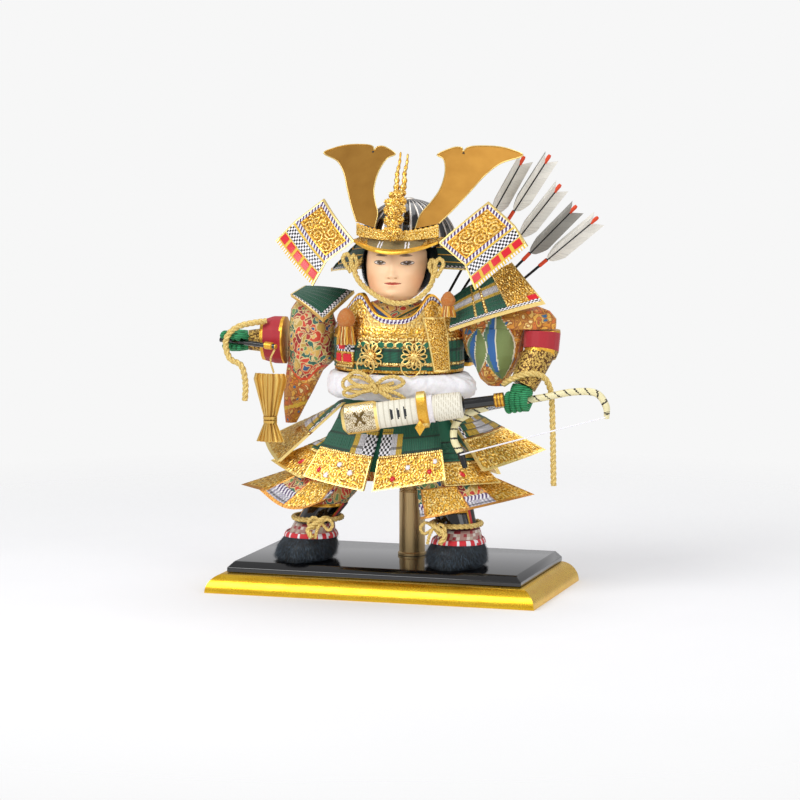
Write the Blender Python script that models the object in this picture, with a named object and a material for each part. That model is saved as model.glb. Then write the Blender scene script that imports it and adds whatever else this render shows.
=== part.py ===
"""A samurai doll in full armour on its two-board stand, one object for each piece.

Metres, +Z up. The doll faces -Y. The origin is the centre of the stand's underside.
Right and left are the doll's own, so its right hand is on the -X side.
"""

import math

import bmesh
import bpy
from mathutils import Vector

# Clearances
GAP = 0.0003
SEAT = 0.0004

# Stand
BOARD_WIDTH = 0.306
BOARD_DEPTH = 0.163
BOARD_NOSE = 0.017
TOP_BOARD_INSET = 0.016
TOP_BOARD_THICKNESS = 0.0095
TOP_BOARD_CHAMFER = 0.0055
POST_RADIUS = 0.0118
POST_PLACE = (0.011, 0.022)
POST_RING_HEIGHT = 0.016

# Heights of the doll, from the stand's underside
STAND_TOP = BOARD_NOSE + GAP + TOP_BOARD_THICKNESS
ANKLE_Z = 0.0605
CORE_BOTTOM_Z = 0.104
CORE_TOP_Z = 0.186
SHOULDER_Z = 0.258
NECK_Z = 0.2625
BOWL_BOTTOM_Z = 0.312
BOWL_HEIGHT = 0.041

# Body section, half width and half depth
BODY_CENTRE = Vector((0.007, -0.006, 0.0))
FRONT_TURN = math.radians(7)
WAIST = (0.050, 0.0315)
CHEST = (0.0550, 0.0365)
HEM = (0.071, 0.050)
CUIRASS_WALL = 0.003
CUIRASS_CLEAR = 0.0007
CUIRASS_RIDGE = 0.0007
CUIRASS_BOTTOM_Z = 0.2
CUIRASS_FRONT_Z = 0.249
CUIRASS_HUMP = 0.021

# Sash
SASH_Z = 0.1865
SASH_HALF_HEIGHT = 0.012
SASH_HALF_DEPTH = 0.0085
SASH_KNOT_TURN = math.radians(-24)
TASSET_DROP = 0.0045
TASSET_THICKNESS = 0.0024
TASSET_SEAT = 0.0005

# Legs and feet
LEG_RADIUS = 0.0185
SHOE_HALF_WIDTH = 0.027
SHOE_HALF_LENGTH = 0.035
FEET = {"right": Vector((-0.073, -0.027, 0.0)), "left": Vector((0.070, -0.027, 0.0))}
HIPS = {"right": Vector((-0.040, -0.012, 0.0)), "left": Vector((0.050, -0.012, 0.0))}
ROPE_RADIUS = 0.0026

# Head and helmet
HEAD_CENTRE = Vector((0.0095, -0.012, 0.0))
HEAD_TURN = math.radians(6)
HELMET_CENTRE = Vector((0.015, -0.003, 0.0))
BOWL_HALF_WIDTH = 0.044
BOWL_HALF_DEPTH = 0.042
BOWL_WALL = 0.003
LINING_SHARE = 0.835
BOWL_RIBS = 12
VISOR_HALF_WIDTH = 0.0388
VISOR_REACH = 0.011
BAND_THICKNESS = 0.0016
BAND_EDGE = 0.0004
BAND_HALF_WIDTH = 0.038
BAND_TOP_Z = BOWL_BOTTOM_Z + 0.015
BAND_RISE = 0.006
HORN_THICKNESS = 0.0013
HORN_LEAN = 1.05
HORN_SWEEP = 0.3
NECK_GUARD_HALF_WIDTH = 0.072
NECK_GUARD_BACK = 0.056
NECK_GUARD_DROP = 0.027
NECK_GUARD_LAMES = 3

# Half of the horns' outline: distance from the middle, height over the band's top
HORN_OUTLINE = (
    (0.0383, BAND_RISE + SEAT),
    (0.0480, 0.0190),
    (0.0580, 0.0340),
    (0.0660, 0.0465),
    (0.0770, 0.0570),
    (0.0940, 0.0635),
    (0.0840, 0.0685),
    (0.0700, 0.0715),
    (0.0520, 0.0720),
    (0.0445, 0.0705),
    (0.0420, 0.0675),
    (0.0395, 0.0705),
    (0.0320, 0.0705),
    (0.0197, 0.0645),
    (0.0260, 0.0610),
    (0.0298, 0.0540),
    (0.0315, 0.0450),
    (0.0305, 0.0340),
    (0.0260, 0.0240),
    (0.0200, 0.0140),
    (0.0187, BAND_RISE * 0.25 + SEAT),
)

# Arms: centre, half breadth and half height down each cuff
ELBOW_Z = 0.2395
SLEEVE_Y = -0.008
ARM_GUARDS = {
    "right": (
        ((-0.0980, -0.0120, 0.2235), 0.0165, 0.0215),
        ((-0.1080, -0.0125, 0.2235), 0.0170, 0.0215),
        ((-0.1200, -0.0135, 0.2230), 0.0140, 0.0180),
        ((-0.1210, -0.0140, 0.2230), 0.0100, 0.0105),
        ((-0.1320, -0.0180, 0.2230), 0.0088, 0.0090),
    ),
    "left": (
        ((0.1405, -0.0085, ELBOW_Z - SEAT), 0.0158, 0.0150),
        ((0.1405, -0.0085, ELBOW_Z - 0.0030), 0.0162, 0.0155),
        ((0.1405, -0.0120, 0.2215), 0.0155, 0.0155),
        ((0.1395, -0.0130, 0.2195), 0.0135, 0.0140),
        ((0.1330, -0.0205, 0.2040), 0.0132, 0.0128),
        ((0.1275, -0.0258, 0.1910), 0.0120, 0.0118),
    ),
}

# Weapons
ARROW_RADIUS = 0.0012
VANE_RADIUS = 0.0085
BOW_RADIUS = 0.0032
STRING_RADIUS = 0.0007
BATON_RADIUS = 0.0023
BATON_ENDS = ((-0.1560, -0.0260, 0.2235), (-0.0985, -0.0385, 0.2200))
SWORD_START = Vector((-0.024, -0.0760, 0.1605))
SWORD_END = Vector((0.119, -0.0520, 0.1815))
BOW_STEPS = 2
BOW_ROUTE = (
    (0.0845, -0.0600, 0.1200),
    (0.0805, -0.0595, 0.1320),
    (0.0735, -0.0580, 0.1450),
    (0.0730, -0.0490, 0.1580),
    (0.0850, -0.0440, 0.1670),
    (0.1010, -0.0390, 0.1725),
    (0.1240, -0.0335, 0.1770),
    (0.1500, -0.0310, 0.1820),
    (0.1740, -0.0290, 0.1870),
    (0.1940, -0.0275, 0.1865),
    (0.2030, -0.0270, 0.1760),
    (0.2040, -0.0270, 0.1640),
)
QUIVER_TOP_Z = 0.236
QUIVER_X = 0.040
QUIVER_STANDOFF = 0.0171
QUIVER_Y = BODY_CENTRE.y + CHEST[1] + QUIVER_STANDOFF
# Each arrow: its foot across, its top height and its top across
ARROWS = (
    (0.022, 0.3890, 0.1055),
    (0.031, 0.3905, 0.1295),
    (0.040, 0.3640, 0.1395),
    (0.049, 0.3450, 0.1545),
    (0.058, 0.3350, 0.1745),
)

# Facets
ROUND = 16
COARSE = 12


def clear_scene():
    for old in list(bpy.data.objects):
        bpy.data.objects.remove(old, do_unlink=True)


def material(name, colour, roughness, metallic=0.0):
    made = bpy.data.materials.new(name)
    made.use_nodes = True
    shader = made.node_tree.nodes["Principled BSDF"]
    shader.inputs["Base Color"].default_value = (*colour, 1.0)
    shader.inputs["Roughness"].default_value = roughness
    shader.inputs["Metallic"].default_value = metallic
    return made


def finish(name, bm, made_of, sharp=35.0):
    """The bmesh as a named object with its normals outward."""
    bmesh.ops.recalc_face_normals(bm, faces=bm.faces[:])
    if bm.calc_volume(signed=True) < 0:
        bmesh.ops.reverse_faces(bm, faces=bm.faces[:])
    mesh = bpy.data.meshes.new(name)
    bm.to_mesh(mesh)
    bm.free()
    mesh.materials.append(made_of)
    mesh.shade_smooth()
    mesh.set_sharp_from_angle(angle=math.radians(sharp))
    piece = bpy.data.objects.new(name, mesh)
    bpy.context.scene.collection.objects.link(piece)
    return piece


def loft(rings):
    """A solid skinned over rings of equal counts, by extruding the first ring's face."""
    bm = bmesh.new()
    face = bm.faces.new([bm.verts.new(point) for point in rings[0]])
    for number, ring in enumerate(rings[1:]):
        grown = bmesh.ops.extrude_face_region(bm, geom=[face], use_keep_orig=True)
        if number:
            bmesh.ops.delete(bm, geom=[face], context="FACES_ONLY")
        face = next(g for g in grown["geom"] if isinstance(g, bmesh.types.BMFace))
        for vert, point in zip(face.verts, ring):
            vert.co = point
    bmesh.ops.triangulate(bm, faces=[f for f in bm.faces if len(f.verts) > 4])
    return bm


def slab(columns, rows, place):
    """A unit slab of columns by rows whose points place(u, v, w) sets; w is 0 behind, 1 in front."""
    bm = bmesh.new()
    bmesh.ops.create_grid(bm, x_segments=columns, y_segments=rows, size=0.5)
    grown = bmesh.ops.extrude_face_region(bm, geom=bm.faces[:], use_keep_orig=True)
    for vert in (g for g in grown["geom"] if isinstance(g, bmesh.types.BMVert)):
        vert.co.z = 1.0
    for vert in bm.verts:
        vert.co = place(vert.co.x + 0.5, vert.co.y + 0.5, vert.co.z)
    return bm


def turned(profile, steps):
    """A solid of revolution about Z from a closed profile of (radius, height)."""
    bm = bmesh.new()
    verts = [bm.verts.new((radius, 0.0, height)) for radius, height in profile]
    edges = [bm.edges.new((a, b)) for a, b in zip(verts, verts[1:] + verts[:1])]
    bmesh.ops.spin(
        bm,
        geom=verts + edges,
        cent=(0, 0, 0),
        axis=(0, 0, 1),
        angle=2 * math.pi,
        steps=steps,
        use_merge=True,
    )
    bmesh.ops.remove_doubles(bm, verts=bm.verts[:], dist=0.00001)
    return bm


def reshape(bm, place):
    for vert in bm.verts:
        vert.co = place(vert.co.copy())
    return bm


def flat_ring(x, y, z, half_width, half_depth, sides, turn=0.0):
    """An ellipse of points in a level plane."""
    steps = [turn + 2 * math.pi * i / sides for i in range(sides)]
    return [Vector((x + half_width * math.cos(t), y + half_depth * math.sin(t), z)) for t in steps]


def level_box(half_width, front, back, z):
    """The four corners of a level rectangle centred on X."""
    spots = ((-half_width, front), (half_width, front), (half_width, back), (-half_width, back))
    return [Vector((x, y, z)) for x, y in spots]


def limb(stations, sides, upright, fold=0.0, folds=5):
    """Rings square to a path. Each station is (centre, half breadth, half height)."""
    rings = []
    for number, (centre, breadth, height) in enumerate(stations):
        before = Vector(stations[max(number - 1, 0)][0])
        after = Vector(stations[min(number + 1, len(stations) - 1)][0])
        along = (after - before).normalized()
        across = Vector(upright).cross(along).normalized()
        up = along.cross(across)
        ring = []
        for i in range(sides):
            t = 2 * math.pi * i / sides
            swell = 1.0 + fold * math.cos(folds * t + number)
            offset = across * breadth * math.cos(t) + up * height * math.sin(t)
            ring.append(Vector(centre) + offset * swell)
        rings.append(ring)
    return loft(rings)


def smooth_route(points, steps):
    """Points along a Catmull-Rom curve through the given ones."""
    points = [Vector(p) for p in points]
    ends = [2 * points[0] - points[1], *points, 2 * points[-1] - points[-2]]
    route = []
    for a, b, c, d in zip(ends, ends[1:], ends[2:], ends[3:]):
        for i in range(steps):
            t = i / steps
            route.append(
                0.5 * (2 * b + (c - a) * t + (2 * a - 5 * b + 4 * c - d) * t * t
                       + (3 * b - a - 3 * c + d) * t * t * t)
            )
    return route + [points[-1]]


def cord(name, points, radius, made_of, steps=3):
    """A round cord along a smooth route, with closed ends."""
    route = smooth_route(points, steps)
    curve = bpy.data.curves.new(name, "CURVE")
    curve.dimensions = "3D"
    curve.bevel_depth = radius
    curve.bevel_resolution = 2
    curve.use_fill_caps = True
    spline = curve.splines.new("POLY")
    spline.points.add(len(route) - 1)
    for target, point in zip(spline.points, route):
        target.co = (*point, 1.0)
    curve.materials.append(made_of)
    piece = bpy.data.objects.new(name, curve)
    bpy.context.scene.collection.objects.link(piece)
    return piece


def cut_by(piece, cutter_bm):
    """Takes a closed bmesh out of a piece and leaves no cutter behind."""
    cutter = finish("cutter", cutter_bm, piece.data.materials[0])
    step = piece.modifiers.new("hole", "BOOLEAN")
    step.operation = "DIFFERENCE"
    step.solver = "EXACT"
    step.object = cutter
    graph = bpy.context.evaluated_depsgraph_get()
    cut = bpy.data.meshes.new_from_object(piece.evaluated_get(graph))
    piece.modifiers.clear()
    piece.data = cut
    bpy.data.objects.remove(cutter, do_unlink=True)


def mirrored(side):
    return -1.0 if side == "right" else 1.0


def lames(v, count, step):
    """The saw-edge relief of overlapping lames down a panel."""
    return step * (round(v * 2 * count) % 2)


def panel(corners, thickness, columns, count, bulge=0.0, facing=None, step=0.0009, lacing=0.0005):
    """A laced panel between top inner, top outer, bottom inner and bottom outer corners."""
    top_in, top_out, low_in, low_out = (Vector(c) for c in corners)
    normal = (top_out - top_in).cross(low_in - top_in).normalized()
    outward = facing or (top_in + low_out) / 2 - Vector((BODY_CENTRE.x, BODY_CENTRE.y, top_in.z))
    if normal.dot(outward) < 0:
        normal.negate()

    def place(u, v, w):
        down = 1.0 - v
        point = top_in.lerp(top_out, u).lerp(low_in.lerp(low_out, u), down)
        relief = lames(down, count, step) + lacing * (round(u * columns) % 2)
        return point + normal * (bulge * 4 * u * (1 - u) + w * (thickness + relief))

    return slab(columns, 2 * count, place)


def body_half(z):
    """Half width and half depth of the dressed body at a height."""
    levels = (
        (CORE_BOTTOM_Z, HEM),
        (0.135, (0.065, 0.046)),
        (0.165, (0.053, 0.036)),
        (0.176, WAIST),
        (0.198, WAIST),
        (0.225, CHEST),
        (0.243, (0.050, 0.034)),
        (SHOULDER_Z, (0.030, 0.024)),
        (NECK_Z, (0.018, 0.017)),
    )
    for (low, a), (high, b) in zip(levels, levels[1:]):
        if z <= high:
            t = max(0.0, (z - low) / (high - low))
            return a[0] + (b[0] - a[0]) * t, a[1] + (b[1] - a[1]) * t
    return levels[-1][1]


def around_body(angle, z, clear):
    """A point on the body's surface, moved out; the angle is 0 at the front, plus on the left."""
    half_width, half_depth = body_half(z)
    return BODY_CENTRE + Vector(
        ((half_width + clear) * math.sin(angle), -(half_depth + clear) * math.cos(angle), z)
    )


def build_stand(finishes):
    half = BOARD_WIDTH / 2
    front, back = -BOARD_DEPTH / 2, BOARD_DEPTH / 2
    rings = []
    for step in range(6):
        t = math.pi / 2 * step / 5
        inset = BOARD_NOSE * (1 - math.cos(t))
        z = BOARD_NOSE * math.sin(t)
        low, side = front + inset, half - inset
        rings.append(level_box(side, low, back, z))
    finish("stand_lower_board", loft(rings), finishes["gold_lacquer"])
    bottom = BOARD_NOSE + GAP
    rings = []
    for inset, z in ((0.0, bottom), (0.0, STAND_TOP - TOP_BOARD_CHAMFER), (TOP_BOARD_CHAMFER, STAND_TOP)):
        side = half - TOP_BOARD_INSET - inset
        low = front + TOP_BOARD_INSET + inset
        high = back - inset / 2
        rings.append(level_box(side, low, high, z))
    finish("stand_upper_board", loft(rings), finishes["black_lacquer"])


def build_post(finishes):
    bottom, top = STAND_TOP + GAP, CORE_BOTTOM_Z - SEAT
    ring = top - POST_RING_HEIGHT
    profile = (
        (0.0, bottom),
        (POST_RADIUS, bottom),
        (POST_RADIUS, ring - 0.001),
        (POST_RADIUS - 0.0007, ring),
        (POST_RADIUS, ring + 0.001),
        (POST_RADIUS, top),
        (0.0, top),
    )
    place = Vector((*POST_PLACE, 0.0))
    finish("support_post", reshape(turned(profile, ROUND), lambda p: p + place), finishes["bronze"])


def build_shoe(side, finishes):
    """A fur boot with the raised band round its opening."""
    foot, hip = FEET[side], HIPS[side]
    bottom = STAND_TOP + GAP
    levels = (
        (0.000, 0.88, 0.93, 0.0),
        (0.006, 1.00, 1.00, 0.0),
        (0.014, 0.98, 0.94, 0.001),
        (0.021, 0.86, 0.78, 0.004),
        (0.0235, 0.90, 0.74, 0.0065),
        (0.0265, 0.84, 0.66, 0.008),
        (0.0325, 0.72, 0.54, 0.009),
    )
    rings = []
    for rise, wide, long, back in levels:
        share = rise / (ANKLE_Z - bottom)
        x = foot.x - 0.003 * (1 - share) + (hip.x - foot.x) * 0.12 * share
        half_width, half_length = SHOE_HALF_WIDTH * wide, SHOE_HALF_LENGTH * long
        rings.append(flat_ring(x, foot.y + back, bottom + rise, half_width, half_length, ROUND))
    finish(f"{side}_shoe", loft(rings), finishes["black_fur"])


def leg_centre(side, z):
    """The leg's axis, which leans in from the foot to the hip."""
    foot, hip = FEET[side], HIPS[side]
    ankle = Vector((foot.x + (hip.x - foot.x) * 0.15, foot.y + 0.006, 0.0))
    return ankle.lerp(hip, (z - ANKLE_Z) / (CORE_BOTTOM_Z - ANKLE_Z))


def build_leg(side, finishes):
    """The shin guard's plate over the trouser leg."""
    bottom = ANKLE_Z + SEAT
    top = CORE_BOTTOM_Z - SEAT
    guard = bottom + 0.017
    stations = ((bottom, 0.90), (guard, 1.04), (guard + 0.0008, 0.95), (guard + 0.008, 1.0), (top, 1.04))
    rings = []
    for z, share in stations:
        axis = leg_centre(side, z)
        rings.append(flat_ring(axis.x, axis.y, z, LEG_RADIUS * share, LEG_RADIUS * share, COARSE))
    finish(f"{side}_leg", loft(rings), finishes["brocade"])


def build_ankle_rope(side, finishes):
    """A rope round the ankle that ends in a bow on its outer front."""
    radius = LEG_RADIUS + ROPE_RADIUS + 2 * GAP
    z = ANKLE_Z + ROPE_RADIUS + SEAT + 0.0008
    x, y = leg_centre(side, z).xy
    out = mirrored(side)
    points = []
    for i in range(7):
        angle = math.radians(-20 + 330 * i / 6) * out
        points.append((x + radius * math.sin(angle), y - radius * math.cos(angle), z))
    lift = 0.003
    bow_x, bow_y = x - 0.012 * out, y - radius - 0.0035
    points += [
        (bow_x - 0.003 * out, bow_y - 0.004, z + lift),
        (bow_x + 0.010 * out, bow_y - 0.007, z - 0.006),
        (bow_x + 0.006 * out, bow_y - 0.010, z - 0.014),
    ]
    cord(f"{side}_ankle_rope", points, ROPE_RADIUS, finishes["gold_cord"], 2)


def build_core(finishes):
    """The padded hips and skirt lining that the tassets hang over."""
    heights = (CORE_BOTTOM_Z, 0.135, 0.165, 0.176, CORE_TOP_Z)
    rings = [flat_ring(BODY_CENTRE.x, BODY_CENTRE.y, z, *body_half(z), ROUND) for z in heights]
    finish("skirt_core", loft(rings), finishes["brocade"])


def build_torso(finishes):
    heights = (CORE_TOP_Z + GAP, 0.198, 0.225, 0.243, SHOULDER_Z, NECK_Z - SEAT)
    rings = [flat_ring(BODY_CENTRE.x, BODY_CENTRE.y, z, *body_half(z), ROUND) for z in heights]
    finish("torso", loft(rings), finishes["brocade"])


def cuirass_half(z):
    lean = max(0.0, z - 0.235) * 0.25
    wall = CUIRASS_CLEAR + CUIRASS_WALL
    return CHEST[0] + wall - lean, CHEST[1] + wall - lean


def cuirass_point(angle, z, out):
    half_width, half_depth = cuirass_half(z)
    return BODY_CENTRE + Vector(
        ((half_width + out) * math.sin(angle), -(half_depth + out) * math.cos(angle), z)
    )


def cuirass_top(angle):
    """The top edge: a dip at the throat, a hump on each breast and low armholes."""
    turn = abs(math.degrees(angle - FRONT_TURN))
    if turn < 90:
        hump = math.exp(-(((turn - 40) / 17) ** 2))
        return CUIRASS_FRONT_Z + CUIRASS_HUMP * hump - 0.014 * max(0.0, (turn - 62) / 28)
    return CUIRASS_FRONT_Z - 0.014 + 0.016 * min(1.0, (turn - 90) / 45)


def build_cuirass(finishes):
    """One shell round the body, open by a narrow seam down the back."""
    seam = math.radians(1.5)

    def place(u, v, w):
        angle = -math.pi + seam + (2 * math.pi - 2 * seam) * u
        z = CUIRASS_BOTTOM_Z + (cuirass_top(angle) - CUIRASS_BOTTOM_Z) * v
        ridge = CUIRASS_RIDGE * (round(v * 4) % 2) if w else 0.0
        return cuirass_point(angle, z, -CUIRASS_WALL * (1 - w) + ridge)

    finish("cuirass", slab(24, 4, place), finishes["gold_leather"])


def plate_on_chest(name, edges, low, high, finishes):
    """A plate that lies on the cuirass between its inner and outer angles at the foot and the top."""

    def place(u, v, w):
        inner, outer = (math.radians(foot + (head - foot) * v) for foot, head in edges)
        angle = inner + (outer - inner) * u
        crown = 0.0012 * (1 - (2 * u - 1) ** 2) + 0.0004 * (round(v * 6) % 2)
        return cuirass_point(angle, low + (high - low) * v, CUIRASS_RIDGE + GAP + w * (0.0014 + crown))

    finish(name, slab(3, 6, place), finishes["gilt_plate"])


def build_chest_plates(finishes):
    plate_on_chest("left_chest_plate", ((43, 33), (61, 57)), 0.2015, 0.250, finishes)
    plate_on_chest("right_chest_plate", ((-31, -31), (-55, -55)), 0.2035, 0.232, finishes)


def build_rosette(side, angle, finishes):
    """A round openwork boss with eight petals."""
    petals, radius = 8, 0.0105
    profile = (
        (0.0, 0.0),
        (radius, 0.0),
        (radius, 0.0012),
        (0.0075, 0.0028),
        (0.0045, 0.0018),
        (0.0, 0.004),
    )
    centre = cuirass_point(angle, 0.2155, CUIRASS_RIDGE + GAP + 0.0002)
    ahead = Vector((math.sin(angle), -math.cos(angle), 0.0)).normalized()
    across = Vector((0, 0, 1)).cross(ahead)

    def place(p):
        turn = math.atan2(p.y, p.x)
        wave = 1.0 + 0.09 * math.cos(petals * turn)
        return centre + across * p.x * wave + Vector((0, 0, p.y * wave)) + ahead * p.z

    finish(f"{side}_rosette", reshape(turned(profile, 16), place), finishes["gilt_plate"])


def build_sash(finishes):
    """A rolled white sash with soft swellings round the waist."""
    inner = [half + 0.001 + SASH_HALF_DEPTH for half in WAIST]
    section = []
    for i in range(8):
        t = 2 * math.pi * i / 8
        section.append((0.06 + SASH_HALF_DEPTH * math.cos(t), SASH_HALF_HEIGHT * math.sin(t)))

    def place(p):
        turn = math.atan2(p.y, p.x)
        out = math.hypot(p.x, p.y) - 0.06
        swell = 1.0
        if out > 0:
            swell += 0.16 * math.sin(3 * turn + 0.6)
            swell += 1.9 * math.exp(-(((turn - SASH_KNOT_TURN) / math.radians(17)) ** 2))
        x = (inner[0] + out * swell) * math.cos(turn)
        y = (inner[1] + out * swell) * math.sin(turn)
        return Vector((BODY_CENTRE.x + x, BODY_CENTRE.y + y, SASH_Z + p.z))

    finish("sash", reshape(turned(section, 20), place), finishes["white_silk"])


def build_sash_cord(finishes):
    """The gold cord's bow at the front of the sash."""
    y = BODY_CENTRE.y - WAIST[1] - 2 * SASH_HALF_DEPTH * 1.09 - SEAT + 0.0002
    x, z = -0.002, 0.187
    points = (
        (x + 0.020, y - 0.001, z + 0.006),
        (x + 0.006, y - 0.001, z + 0.003),
        (x - 0.012, y - 0.001, z + 0.010),
        (x - 0.026, y + 0.001, z + 0.008),
        (x - 0.027, y + 0.001, z),
        (x - 0.012, y - 0.003, z - 0.003),
        (x + 0.003, y - 0.005, z - 0.001),
        (x + 0.016, y - 0.004, z - 0.005),
        (x + 0.022, y - 0.0072, z - 0.0112),
    )
    cord("sash_cord", points, 0.0018, finishes["gold_cord"], 2)


def hanging(start, end, top, low_in, low_out, thickness, columns, count, bow):
    """An apron of lames hung round the body from a level line to a straight foot."""
    low_in, low_out = Vector(low_in), Vector(low_out)

    def place(u, v, w):
        head = around_body(math.radians(start + (end - start) * u), top, TASSET_SEAT)
        foot = low_in.lerp(low_out, u)
        out = (foot - Vector((BODY_CENTRE.x, BODY_CENTRE.y, foot.z))).normalized()
        foot += out * bow * 4 * u * (1 - u)
        relief = lames(1 - v, count, 0.0009) + 0.0005 * (round(u * columns) % 2) if w else 0.0
        return head.lerp(foot, 1 - v) + out * w * (thickness + relief)

    return slab(columns, 2 * count, place)


def build_tassets(finishes):
    """Laced panels that hang from the cuirass all round the hips."""
    top = SASH_Z - SASH_HALF_HEIGHT - TASSET_DROP
    low = top - 0.031
    panels = {
        "tasset_front_right": (-3, -50, top, (-0.006, -0.068, 0.097), (-0.063, -0.060, 0.107), 6, 4, 0.002),
        "tasset_front_left": (3, 50, top, (0.002, -0.068, 0.097), (0.065, -0.060, 0.109), 6, 4, 0.002),
        "tasset_side_right": (-58, -112, top, (-0.094, -0.040, 0.116), (-0.122, 0.004, 0.131), 6, 4, 0.002),
        "tasset_side_left": (58, 112, top, (0.094, -0.040, 0.115), (0.139, 0.000, 0.131), 6, 4, 0.002),
        "tasset_inner_right": (-36, -66, low, (-0.070, -0.047, 0.103), (-0.105, -0.026, 0.115), 4, 3, 0.001),
        "tasset_inner_left": (36, 66, low, (0.062, -0.050, 0.102), (0.106, -0.030, 0.104), 4, 3, 0.001),
    }
    for name, (start, end, level, low_in, low_out, columns, count, bow) in panels.items():
        bm = hanging(start, end, level, low_in, low_out, TASSET_THICKNESS, columns, count, bow)
        finish(name, bm, finishes["green_lacing"])

    def back(u, v, w):
        angle = math.radians(118 + 124 * u)
        z = 0.103 + (top - 0.103) * v
        relief = lames(1 - v, 3, 0.0009) + 0.0005 * (round(u * 8) % 2) if w else 0.0
        return around_body(angle, z, TASSET_SEAT + 0.022 * (1 - v) + w * (TASSET_THICKNESS + relief))

    finish("tasset_back", slab(8, 6, back), finishes["green_lacing"])


def build_thigh_guards(finishes):
    """Cloth aprons with gilt plates at their foot."""
    spots = {
        "right": (-24, -78, 0.117, (-0.046, -0.054, 0.085), (-0.138, -0.016, 0.090)),
        "left": (24, 78, 0.115, (0.042, -0.056, 0.072), (0.134, -0.018, 0.093)),
    }
    for side, (start, end, top, low_in, low_out) in spots.items():
        low_in, low_out = Vector(low_in), Vector(low_out)

        def place(u, v, w):
            head = around_body(math.radians(start + (end - start) * u), top, TASSET_SEAT)
            foot = low_in.lerp(low_out, u)
            foot.y -= 0.010 * math.sin(math.pi * u)
            foot.z -= 0.012 * math.sin(math.pi * min(1.0, 1.35 * u)) if side == "right" else 0.0
            out = (foot - Vector((BODY_CENTRE.x, BODY_CENTRE.y, foot.z))).normalized()
            plate = 0.0008 if v < 0.45 else 0.0
            return head.lerp(foot, 1 - v) + out * w * (0.0018 + plate + 0.0004 * (round(u * 8) % 2))

        finish(f"{side}_thigh_guard", slab(8, 5, place), finishes["brocade"])


def build_sleeves(finishes):
    """Wide brocade sleeves that hang open below the arms."""
    armpit = CHEST[0] + CUIRASS_CLEAR + CUIRASS_WALL + CUIRASS_RIDGE
    right = BODY_CENTRE.x - armpit
    left = BODY_CENTRE.x + armpit - SEAT
    levels = {
        "right": (
            (0.1480, -0.1000, -0.0900, 0.005),
            (0.1620, -0.1015, -0.0820, 0.009),
            (0.1800, -0.1010, -0.0720, 0.012),
            (0.1960, -0.0985, -0.0640, 0.015),
            (0.2070, -0.0975, right, 0.018),
            (0.2250, -0.0970, right, 0.020),
            (0.2400, -0.0965, right, 0.018),
            (0.2520, -0.0945, right - 0.0030, 0.013),
            (0.2612, -0.0880, right - 0.0100, 0.006),
        ),
        "left": (
            (0.1880, 0.0910, 0.1060, 0.006),
            (0.1940, 0.0840, 0.1100, 0.011),
            (0.2040, 0.0790, 0.1150, 0.015),
            (0.2160, left + 0.0050, 0.1190, 0.017),
            (0.2300, left, 0.1190, 0.017),
            (ELBOW_Z, left, 0.1230, 0.016),
            (ELBOW_Z + 0.0006, left, 0.1530, 0.016),
            (0.2490, left, 0.1530, 0.016),
            (0.2560, left + 0.0040, 0.1470, 0.012),
            (0.2600, left + 0.0140, 0.1360, 0.006),
        ),
    }
    for side, rows in levels.items():
        rings = []
        for z, low, high, half_depth in rows:
            rings.append(flat_ring((low + high) / 2, SLEEVE_Y, z, (high - low) / 2, half_depth, COARSE))
        finish(f"{side}_sleeve", loft(rings), finishes["brocade"])


def build_arm_guards(finishes):
    """The red cuff and the mailed sleeve below it."""
    for side, stations in ARM_GUARDS.items():
        upright = (0, 0, 1) if side == "right" else (0, 1, 0)
        finish(f"{side}_arm_guard", limb(stations, COARSE, upright), finishes["mail_cloth"])


def tube_between(points, radius, sides=10):
    return limb([(p, radius, radius) for p in points], sides, (0.1, 0.2, 1))


def build_hands(finishes):
    """Gloved fists, bored for what they hold."""
    fists = {
        "right": (
            ((-0.1400, -0.0215, 0.2225), 0.0108, 0.0105),
            ((-0.1490, -0.0240, 0.2225), 0.0110, 0.0105),
            ((-0.1550, -0.0250, 0.2225), 0.0070, 0.0075),
        ),
        "left": (
            ((0.1245, -0.0315, 0.1790), 0.0115, 0.0115),
            ((0.1235, -0.0330, 0.1710), 0.0112, 0.0110),
            ((0.1230, -0.0335, 0.1650), 0.0075, 0.0080),
        ),
    }
    for side, knuckles in fists.items():
        wrist = Vector(ARM_GUARDS[side][-1][0])
        along = (wrist - Vector(ARM_GUARDS[side][-2][0])).normalized()
        cuff = tuple((wrist + along * reach, 0.0088, 0.0090) for reach in (SEAT, 0.0030))
        stations = cuff + knuckles
        upright = (0, 0, 1) if side == "right" else (0, 1, 0)
        fist = finish(f"{side}_hand", limb(stations, COARSE, upright, 0.03, 4), finishes["green_glove"])
        if side == "left":
            cut_by(fist, tube_between(smooth_route(BOW_ROUTE, BOW_STEPS)[9:18], BOW_RADIUS + 2 * GAP))
        else:
            start, end = (Vector(p) for p in BATON_ENDS)
            reach = (end - start) * 0.1
            cut_by(fist, tube_between((start - reach, start.lerp(end, 0.5), end), BATON_RADIUS + 2 * GAP))


def build_shoulder_guards(finishes):
    """Laced guards that slope over the upper arms."""
    corners = {
        "left": (
            (0.058, 0.001, 0.0060),
            (0.110, 0.006, 0.0370),
            (0.066, -0.044, -0.0195),
            (0.148, -0.026, 0.0055),
        ),
        "right": (
            (-0.038, 0.004, 0.0080),
            (-0.086, 0.008, 0.0110),
            (-0.0555, -0.034, -0.0155),
            (-0.0885, -0.026, 0.0060),
        ),
    }
    sizes = {"left": (8, 4), "right": (6, 3)}
    for side, spots in corners.items():
        raised = [(x, y, SHOULDER_Z + rise) for x, y, rise in spots]
        columns, count = sizes[side]
        bm = panel(raised, 0.0026, columns, count, 0.0015, Vector((0, -0.3, 1)))
        finish(f"{side}_shoulder_guard", bm, finishes["green_lacing"])


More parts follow.
